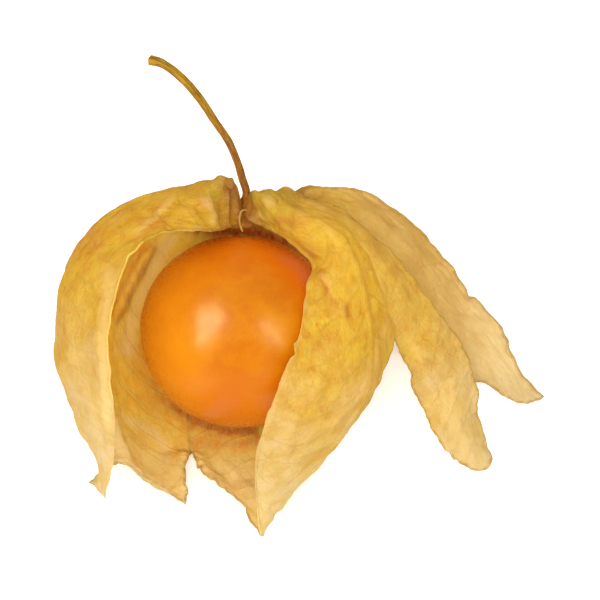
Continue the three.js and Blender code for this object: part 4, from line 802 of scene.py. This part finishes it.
class Nodes:
    """A material's node tree, written as expressions."""

    def __init__(self, name):
        self.material = bpy.data.materials.new(name)
        self.material.use_nodes = True
        self.tree = self.material.node_tree
        self.tree.nodes.clear()

    def add(self, kind, **settings):
        node = self.tree.nodes.new(kind)
        for key, value in settings.items():
            setattr(node, key, value)
        return node

    def feed(self, socket, value):
        if isinstance(value, bpy.types.NodeSocket):
            self.tree.links.new(value, socket)
        elif isinstance(value, str):
            socket.default_value = linear(value)
        elif value is not None:
            socket.default_value = value

    def math(self, operation, a, b=None, c=None, clamp=False):
        node = self.add("ShaderNodeMath", operation=operation, use_clamp=clamp)
        for socket, value in zip(node.inputs, (a, b, c)):
            self.feed(socket, value)
        return node.outputs[0]

    def plus(self, a, b): return self.math("ADD", a, b)
    def less(self, a, b): return self.math("SUBTRACT", a, b)
    def times(self, a, b): return self.math("MULTIPLY", a, b)
    def flip(self, a): return self.math("SUBTRACT", 1.0, a, clamp=True)

    def ramp(self, value, low, high, to_low=0.0, to_high=1.0):
        node = self.add("ShaderNodeMapRange", interpolation_type="SMOOTHSTEP")
        for socket, v in zip(node.inputs, (value, low, high, to_low, to_high)):
            self.feed(socket, v)
        return node.outputs[0]

    def mix(self, factor, a, b, blend="MIX"):
        node = self.add("ShaderNodeMix", data_type="RGBA", blend_type=blend)
        self.feed(node.inputs[0], factor)
        self.feed(node.inputs[6], a)
        self.feed(node.inputs[7], b)
        return node.outputs[2]

    def value(self, name):
        return self.add("ShaderNodeAttribute", attribute_name=name, attribute_type="GEOMETRY").outputs["Vector"]

    def single(self, name):
        return self.add("ShaderNodeAttribute", attribute_name=name, attribute_type="GEOMETRY").outputs["Fac"]

    def split(self, vector):
        node = self.add("ShaderNodeSeparateXYZ")
        self.feed(node.inputs[0], vector)
        return node.outputs

    def join(self, x, y, z):
        node = self.add("ShaderNodeCombineXYZ")
        for socket, v in zip(node.inputs, (x, y, z)):
            self.feed(socket, v)
        return node.outputs[0]

    def scaled(self, vector, by, add=(0, 0, 0)):
        node = self.add("ShaderNodeVectorMath", operation="MULTIPLY_ADD")
        self.feed(node.inputs[0], vector)
        self.feed(node.inputs[1], by)
        self.feed(node.inputs[2], add)
        return node.outputs[0]

    def noise(self, vector, scale, detail=3.0, rough=0.5, distort=0.0):
        node = self.add("ShaderNodeTexNoise")
        self.feed(node.inputs["Vector"], vector)
        node.inputs["Scale"].default_value = scale
        node.inputs["Detail"].default_value = detail
        node.inputs["Roughness"].default_value = rough
        node.inputs["Distortion"].default_value = distort
        return node.outputs[0]

    def cells(self, vector, scale, feature="DISTANCE_TO_EDGE", random=1.0):
        node = self.add("ShaderNodeTexVoronoi", feature=feature)
        self.feed(node.inputs["Vector"], vector)
        node.inputs["Scale"].default_value = scale
        node.inputs["Randomness"].default_value = random
        return node.outputs["Distance"]

    def bump(self, height, strength, distance, normal=None):
        node = self.add("ShaderNodeBump")
        node.inputs["Strength"].default_value = strength
        node.inputs["Distance"].default_value = distance
        self.feed(node.inputs["Height"], height)
        if normal is not None:
            self.feed(node.inputs["Normal"], normal)
        return node.outputs[0]

    def principled(self, **inputs):
        node = self.add("ShaderNodeBsdfPrincipled")
        for key, value in inputs.items():
            self.feed(node.inputs[key.replace("_", " ")], value)
        return node

    def end(self, shader):
        out = self.add("ShaderNodeOutputMaterial")
        self.tree.links.new(shader, out.inputs["Surface"])
        return self.material


def husk_material():
    m = Nodes("husk_paper")
    lay = m.value("lay")  # mm across, mm along, lobe
    vein_x, vein_q, rim = m.split(m.value("vein"))
    grown, side, pink = m.split(m.value("grown"))
    # a gentle warp, so that no vein runs dead straight
    wobble = m.add("ShaderNodeTexNoise")
    m.feed(wobble.inputs["Vector"], lay)
    wobble.inputs["Scale"].default_value = 0.9
    wobble.inputs["Detail"].default_value = 2.0
    place = m.add("ShaderNodeVectorMath", operation="MULTIPLY_ADD")
    m.feed(place.inputs[0], wobble.outputs["Color"])
    m.feed(place.inputs[1], (0.8, 0.8, 0.0))
    m.feed(place.inputs[2], lay)
    place = place.outputs[0]

    broad = m.noise(lay, 0.22, 2.0, 0.5)
    patch = m.noise(place, 0.5, 4.0, 0.6, 0.4)
    mottle = m.noise(m.scaled(place, (1.5, 0.8, 1.0)), 0.95, 5.0, 0.62, 0.3)
    speck = m.noise(place, 4.2, 3.0, 0.6)
    fibre = m.noise(m.scaled(place, (7.0, 1.1, 1.0)), 1.0, 4.0, 0.6)

    # ---- colour
    gold = m.mix(m.ramp(patch, 0.34, 0.66), "#C39A16", "#D2B829")
    gold = m.mix(m.ramp(broad, 0.40, 0.66, 0.0, 0.50), gold, "#D0AD2F")
    gold = m.mix(m.ramp(mottle, 0.52, 0.70, 0.0, 0.58), gold, "#ACA02D")  # a trace of green
    gold = m.mix(m.ramp(mottle, 0.46, 0.28, 0.0, 0.85), gold, "#BE7810")  # and of orange-brown
    pale = m.mix(m.ramp(patch, 0.35, 0.68), "#CFBD7F", "#D7CAA4")
    pale = m.mix(m.ramp(mottle, 0.45, 0.28, 0.0, 0.45), pale, "#CEA871")
    pale = m.mix(m.ramp(mottle, 0.56, 0.74, 0.0, 0.40), pale, "#C9BA7D")
    ripe = m.plus(grown, m.times(m.less(broad, 0.5), 0.45))
    colour = m.mix(m.ramp(ripe, 0.46, 1.02), gold, pale)
    rosy = m.mix(m.ramp(patch, 0.36, 0.66), "#D1B982", "#D8C597")
    rosy = m.mix(m.ramp(mottle, 0.45, 0.28, 0.0, 0.5), rosy, "#D1A682")
    colour = m.mix(m.times(pink, m.ramp(grown, 0.10, 0.34, 0.15, 1.0)), colour, rosy)
    # the inside is warmer and paler, and painted brighter than its own colour for the light glowing through the thin
    # husk
    inside_colour_and_glow = m.mix(m.ramp(mottle, 0.35, 0.62), "#FFD846", "#FFEC6A")
    inside_colour_and_glow = m.mix(m.ramp(grown, 0.61, 0.90, 0.0, 0.8), inside_colour_and_glow, "#FFF6CC")
    deep = m.times(side, m.ramp(grown, 0.55, 0.98, 1.0, 0.84))
    colour = m.mix(m.times(deep, m.less(1.0, m.times(pink, 0.85))), colour, inside_colour_and_glow)
    # painted shade: the hollow round the berry's top is painted dark and reddish for the shadow there
    hollow = m.times(side, m.ramp(grown, 0.20, 0.09))
    colour = m.mix(m.times(hollow, 0.85), colour, "#7C2A08")
    # browned gathers at the stalk
    base = m.ramp(m.plus(grown, m.times(m.less(mottle, 0.5), 0.05)), 0.125, 0.05)
    colour = m.mix(m.times(base, 0.68), colour, "#A8560A")

    browned_glow_and_shade, bleached_and_lit, red_brown_and_shade = m.split(m.value("stain_and_painted_light"))
    # outside, browned tissue; inside, the same marks are painted orange glow from the berry and painted shade, deeper
    # orange where stronger
    colour = m.mix(m.times(browned_glow_and_shade, m.ramp(mottle, 0.30, 0.60, 1.0, 0.65)), colour, m.mix(side, "#C66E10", m.mix(m.ramp(browned_glow_and_shade, 0.40, 0.95), "#F6A632", "#E0660A")))
    # pale bleached tissue, and painted light on the lit strip beside the berry and on a left-lobe ridge
    colour = m.mix(bleached_and_lit, colour, "#F6E4A4")
    # deep red-brown spots, and painted shade under the right lobe's edge, in the left cleft and where the berry sits
    colour = m.mix(red_brown_and_shade, colour, "#A03404")

    # ---- veins
    main = m.ramp(vein_x, 0.42, 0.05)
    saw = m.math("ABSOLUTE", m.less(vein_q, m.math("ROUND", m.plus(vein_q, m.times(m.less(m.noise(lay, 1.1, 2.0), 0.5), 0.12)))))
    second = m.times(m.ramp(saw, 0.095, 0.0), m.ramp(vein_x, 0.0, 0.5))
    net_wide = m.cells(m.scaled(place, (1.15, 0.85, 1.0)), 0.62)
    net_fine = m.cells(m.scaled(place, (1.05, 0.95, 1.0)), 1.75)
    third = m.ramp(net_wide, 0.070, 0.0)
    fourth = m.ramp(net_fine, 0.10, 0.0)
    inked = m.math("MAXIMUM", m.times(main, 0.26), m.times(second, 0.22))
    inked = m.math("MAXIMUM", inked, m.times(third, 0.17))
    inked = m.math("MAXIMUM", inked, m.times(fourth, 0.13))
    inked = m.times(inked, m.ramp(speck, 0.30, 0.60, 0.55, 1.0))
    inked = m.times(inked, m.ramp(grown, 0.55, 1.0, 1.0, 0.55))
    inked = m.times(inked, m.ramp(side, 0.0, 1.0, 1.0, 0.6))
    colour = m.mix(inked, colour, m.mix(m.ramp(grown, 0.5, 0.9), "#A8701A", "#CC9848"))
    # fine grain of the dry tissue
    colour = m.mix(m.ramp(fibre, 0.35, 0.68, 0.0, 0.20), colour, "#FBE0A0", )
    colour = m.mix(m.times(m.ramp(speck, 0.44, 0.30, 0.0, 0.24), m.ramp(side, 0.0, 1.0, 1.0, 0.4)), colour, "#B9822B")
    # scattered brown flecks
    fleck = m.ramp(m.noise(lay, 2.3, 2.0, 0.5, 0.8), 0.735, 0.80, 0.0, 0.6)
    colour = m.mix(fleck, colour, "#8A5A1E")
    # browned rim along the free edges
    brown = m.ramp(m.plus(rim, m.times(m.less(m.noise(lay, 1.3, 4.0, 0.65), 0.5), 1.0)), 0.32, -0.04)
    colour = m.mix(m.times(brown, 0.52), colour, "#8C641C")

    # painted light and shade: ridges, gather crests and the front lobes' edges are painted pale, creases and dents
    # painted dark, as light and shade fall on the relief
    relief_light_shade = m.single("relief_light_shade")
    colour = m.mix(m.ramp(relief_light_shade, 0.12, 1.0, 0.0, 0.42), colour, m.mix(0.5, colour, "#FFE9A6"))
    colour = m.mix(m.times(m.ramp(relief_light_shade, -0.15, -1.1, 0.0, 0.42), m.ramp(side, 0.0, 1.0, 1.0, 0.5)), colour, m.mix(0.62, colour, "#A8661A"))

    # ---- relief
    height = m.plus(m.times(main, 0.9), m.times(second, 0.75))
    height = m.plus(height, m.times(third, 0.5))
    height = m.plus(height, m.times(fourth, 0.18))
    outside = m.bump(height, 0.55, 0.00010)
    relief = m.plus(m.times(fibre, 0.55), m.times(speck, 0.45))
    normal = m.bump(relief, 0.45, 0.00012, outside)
    pucker = m.plus(m.times(m.ramp(net_wide, 0.0, 0.45), 0.7), m.times(m.ramp(net_fine, 0.0, 0.4), 0.3))
    normal = m.bump(pucker, 0.35, 0.00014, normal)
    rough = m.ramp(speck, 0.3, 0.7, 0.50, 0.72)

    skin = m.principled(Base_Color=colour, Roughness=rough, Normal=normal)
    skin.inputs["IOR"].default_value = 1.42
    skin.inputs["Specular IOR Level"].default_value = 0.10
    glow = m.add("ShaderNodeBsdfTranslucent")
    m.feed(glow.inputs["Color"], m.mix(m.times(m.flip(m.plus(red_brown_and_shade, m.times(browned_glow_and_shade, 1.1))), m.ramp(grown, 0.35, 0.80, 0.55, 0.30)), colour, "#FFE490"))
    m.feed(glow.inputs["Normal"], normal)
    both = m.add("ShaderNodeMixShader")
    m.feed(both.inputs[0], m.ramp(side, 0.0, 1.0, 0.52, 0.46))
    m.tree.links.new(skin.outputs[0], both.inputs[1])
    m.tree.links.new(glow.outputs[0], both.inputs[2])
    return m.end(both.outputs[0])


def berry_material():
    m = Nodes("berry_skin")
    skin = m.value("skin")  # the direction from the berry's middle, Y towards the stalk
    x, y, z = m.split(skin)
    broad = m.noise(skin, 1.3, 2.0, 0.5)
    patch = m.noise(skin, 3.1, 3.0, 0.55, 0.3)
    fine = m.noise(skin, 26.0, 3.0, 0.6)
    dots = m.cells(skin, 30.0, "F1")
    colour = m.mix(m.ramp(patch, 0.34, 0.66), "#B16004", "#BC7007")
    colour = m.mix(m.ramp(broad, 0.48, 0.68, 0.0, 0.6), colour, "#C17D0C")
    colour = m.mix(m.ramp(y, 0.35, 1.0, 0.0, 0.75), colour, "#C85604")  # painted shade: deeper and darker towards the stalk, for the shade of the husk over the berry's top
    # painted shade: darker and redder towards the bottom, where the berry sits in the husk
    colour = m.mix(m.ramp(y, -0.15, -0.85, 0.0, 0.78), colour, "#BA6005")
    # painted light: lighter and yellower towards the left, where the light falls
    colour = m.mix(m.ramp(x, -0.10, -0.85, 0.0, 0.55), colour, "#E0921A")
    # painted shade: darkest red at the right of the top, under the right lobe's edge
    colour = m.mix(m.ramp(m.plus(x, m.times(y, 0.7)), 0.55, 1.10, 0.0, 0.60), colour, "#CC5A02")
    colour = m.mix(m.ramp(fine, 0.46, 0.30, 0.0, 0.10), colour, "#CC620A")
    colour = m.mix(m.ramp(dots, 0.16, 0.05, 0.0, 0.30), colour, "#F8B45A")  # pale pores
    colour = m.mix(m.ramp(y, -0.9985, -0.9996), colour, "#8A5A2A")  # the style's scar
    relief = m.plus(m.times(fine, 0.6), m.times(m.ramp(dots, 0.25, 0.0), -0.15))
    normal = m.bump(relief, 0.04, 0.00004)
    rough = m.ramp(fine, 0.3, 0.7, 0.25, 0.34)
    body = m.principled(Base_Color=colour, Roughness=rough, Normal=normal)
    body.inputs["IOR"].default_value = 1.40
    body.inputs["Specular IOR Level"].default_value = 0.15
    body.inputs["Subsurface Weight"].default_value = 0.22
    body.inputs["Subsurface Radius"].default_value = (1.0, 0.38, 0.08)
    body.inputs["Subsurface Scale"].default_value = 0.0022
    return m.end(body.outputs[0])


def stalk_material():
    m = Nodes("stalk_bark")
    share, turn_, radius = m.split(m.value("along"))
    grain = m.value("grain")
    streak = m.noise(m.scaled(grain, (3.6, 3.6, 0.45)), 1.0, 4.0, 0.6)
    patch = m.noise(m.scaled(grain, (1.0, 1.0, 0.5)), 1.0, 3.0, 0.6)
    fine = m.noise(m.scaled(grain, (9.0, 9.0, 3.0)), 1.0, 3.0, 0.6)
    where = m.plus(share, m.times(m.less(patch, 0.5), 0.25))
    dark = m.mix(m.ramp(streak, 0.36, 0.66), "#6A3807", "#A0640F")
    light = m.mix(m.ramp(streak, 0.36, 0.66), "#764F06", "#A87B0E")
    colour = m.mix(m.ramp(where, 0.30, 0.72), dark, light)
    colour = m.mix(m.ramp(patch, 0.58, 0.72, 0.0, 0.45), colour, "#8E8A3C")
    colour = m.mix(m.ramp(fine, 0.44, 0.28, 0.0, 0.5), colour, "#5A3410")
    collar = m.ramp(share, 0.085, 0.04)
    colour = m.mix(m.times(collar, 0.8), colour, "#B0702C")
    cut = m.times(m.ramp(share, 0.985, 0.998), m.ramp(radius, 0.95, 0.72))
    colour = m.mix(cut, colour, m.mix(m.ramp(radius, 0.5, 0.2), "#C9A566", "#7A5526"))
    normal = m.bump(m.plus(m.times(streak, 0.7), m.times(fine, 0.4)), 0.6, 0.00012)
    rough = m.ramp(fine, 0.3, 0.7, 0.5, 0.75)
    body = m.principled(Base_Color=colour, Roughness=rough, Normal=normal)
    body.inputs["Specular IOR Level"].default_value = 0.12
    return m.end(body.outputs[0])


husk.data.materials.append(husk_material())
berry.data.materials.append(berry_material())
stalk.data.materials.append(stalk_material())

# ---------------------------------------------------------------- into the frame
for piece, node in ((husk, "husk"), (berry, "berry"), (stalk, "stem")):
    co = np.zeros(len(piece.data.vertices) * 3, np.float32)
    piece.data.vertices.foreach_get("co", co)
    co = co.reshape(-1, 3) + (SHIFT * MM).astype(np.float32)
    piece.data.vertices.foreach_set("co", co.ravel())
    piece.data.update()
    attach(piece, "root")
    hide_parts(node)

# ---------------------------------------------------------------- floor, light
floor_mesh = bpy.data.meshes.new("floor")
R_ = 4.0
floor_mesh.from_pydata([(-R_, -R_, 0), (R_, -R_, 0), (R_, R_, 0), (-R_, R_, 0)], [], [(0, 1, 2, 3)])
floor = bpy.data.objects.new("floor", floor_mesh)
floor.location.z = -0.0001
bpy.context.scene.collection.objects.link(floor)
fm = Nodes("floor")
paper = fm.principled(Base_Color=(0.93, 0.925, 0.915, 1), Roughness=0.85, Emission_Color=(1, 1, 1, 1))
paper.inputs["Emission Strength"].default_value = 0.28
floor_mesh.materials.append(fm.end(paper.outputs[0]))

world = bpy.data.worlds.new("studio")
bpy.context.scene.world = world
world.use_nodes = True
background = world.node_tree.nodes["Background"]
background.inputs[0].default_value = (1.0, 0.985, 0.96, 1)
background.inputs[1].default_value = 0.54


def softbox(name, place, aim, size, power, colour=(1, 1, 1), gloss=True, body=True):
    """A soft rectangular light; one without gloss only fills, one without body only makes a highlight."""
    light = bpy.data.lights.new(name, "AREA")
    light.shape = "RECTANGLE"
    light.size, light.size_y = size
    light.energy = power
    light.color = colour
    obj = bpy.data.objects.new(name, light)
    obj.location = place
    obj.rotation_euler = (Vector(aim) - Vector(place)).to_track_quat("-Z", "Y").to_euler()
    obj.visible_glossy = gloss
    obj.visible_diffuse = body
    bpy.context.scene.collection.objects.link(obj)
    return obj


RIGHT = Vector((1, 0, 0))
UP = Vector((0, math.sin(math.radians(50)), math.cos(math.radians(50))))
BACK = Vector((0, -math.cos(math.radians(50)), math.sin(math.radians(50))))
middle = Vector((-6.53, -2.87, 11.0)) * MM


def toward(x, y, z, far):
    d = (RIGHT * x + UP * y + BACK * z).normalized()
    return middle + d * far


softbox("right_fill", toward(0.46, 0.14, 0.88, 0.80), middle, (0.45, 0.45), 1.25, (1, 0.99, 0.97), gloss=False)
softbox("left_fill", toward(-0.55, 0.20, 0.81, 0.80), middle, (0.45, 0.45), 1.25, (1, 0.99, 0.97), gloss=False)
softbox("front_fill", toward(-0.06, -0.06, 1.0, 0.80), middle, (0.40, 0.40), 5.3, (1, 0.99, 0.97), gloss=False)
softbox("top_light", (0.05, 0.25, 0.9), middle, (0.8, 0.8), 1.8, (1, 1, 1), gloss=False)
softbox("left_gleam", toward(-0.63, 0.14, 0.767, 0.62), middle, (0.34, 0.52), 23.0, (1, 0.93, 0.52), body=False)
softbox("right_gleam", toward(0.60, -0.02, 0.80, 0.70), middle, (0.12, 0.36), 5.3, (1, 0.93, 0.55), body=False)

scene = bpy.context.scene
scene.view_settings.view_transform = "Standard"
scene.view_settings.look = "None"
scene.view_settings.exposure = 0.0
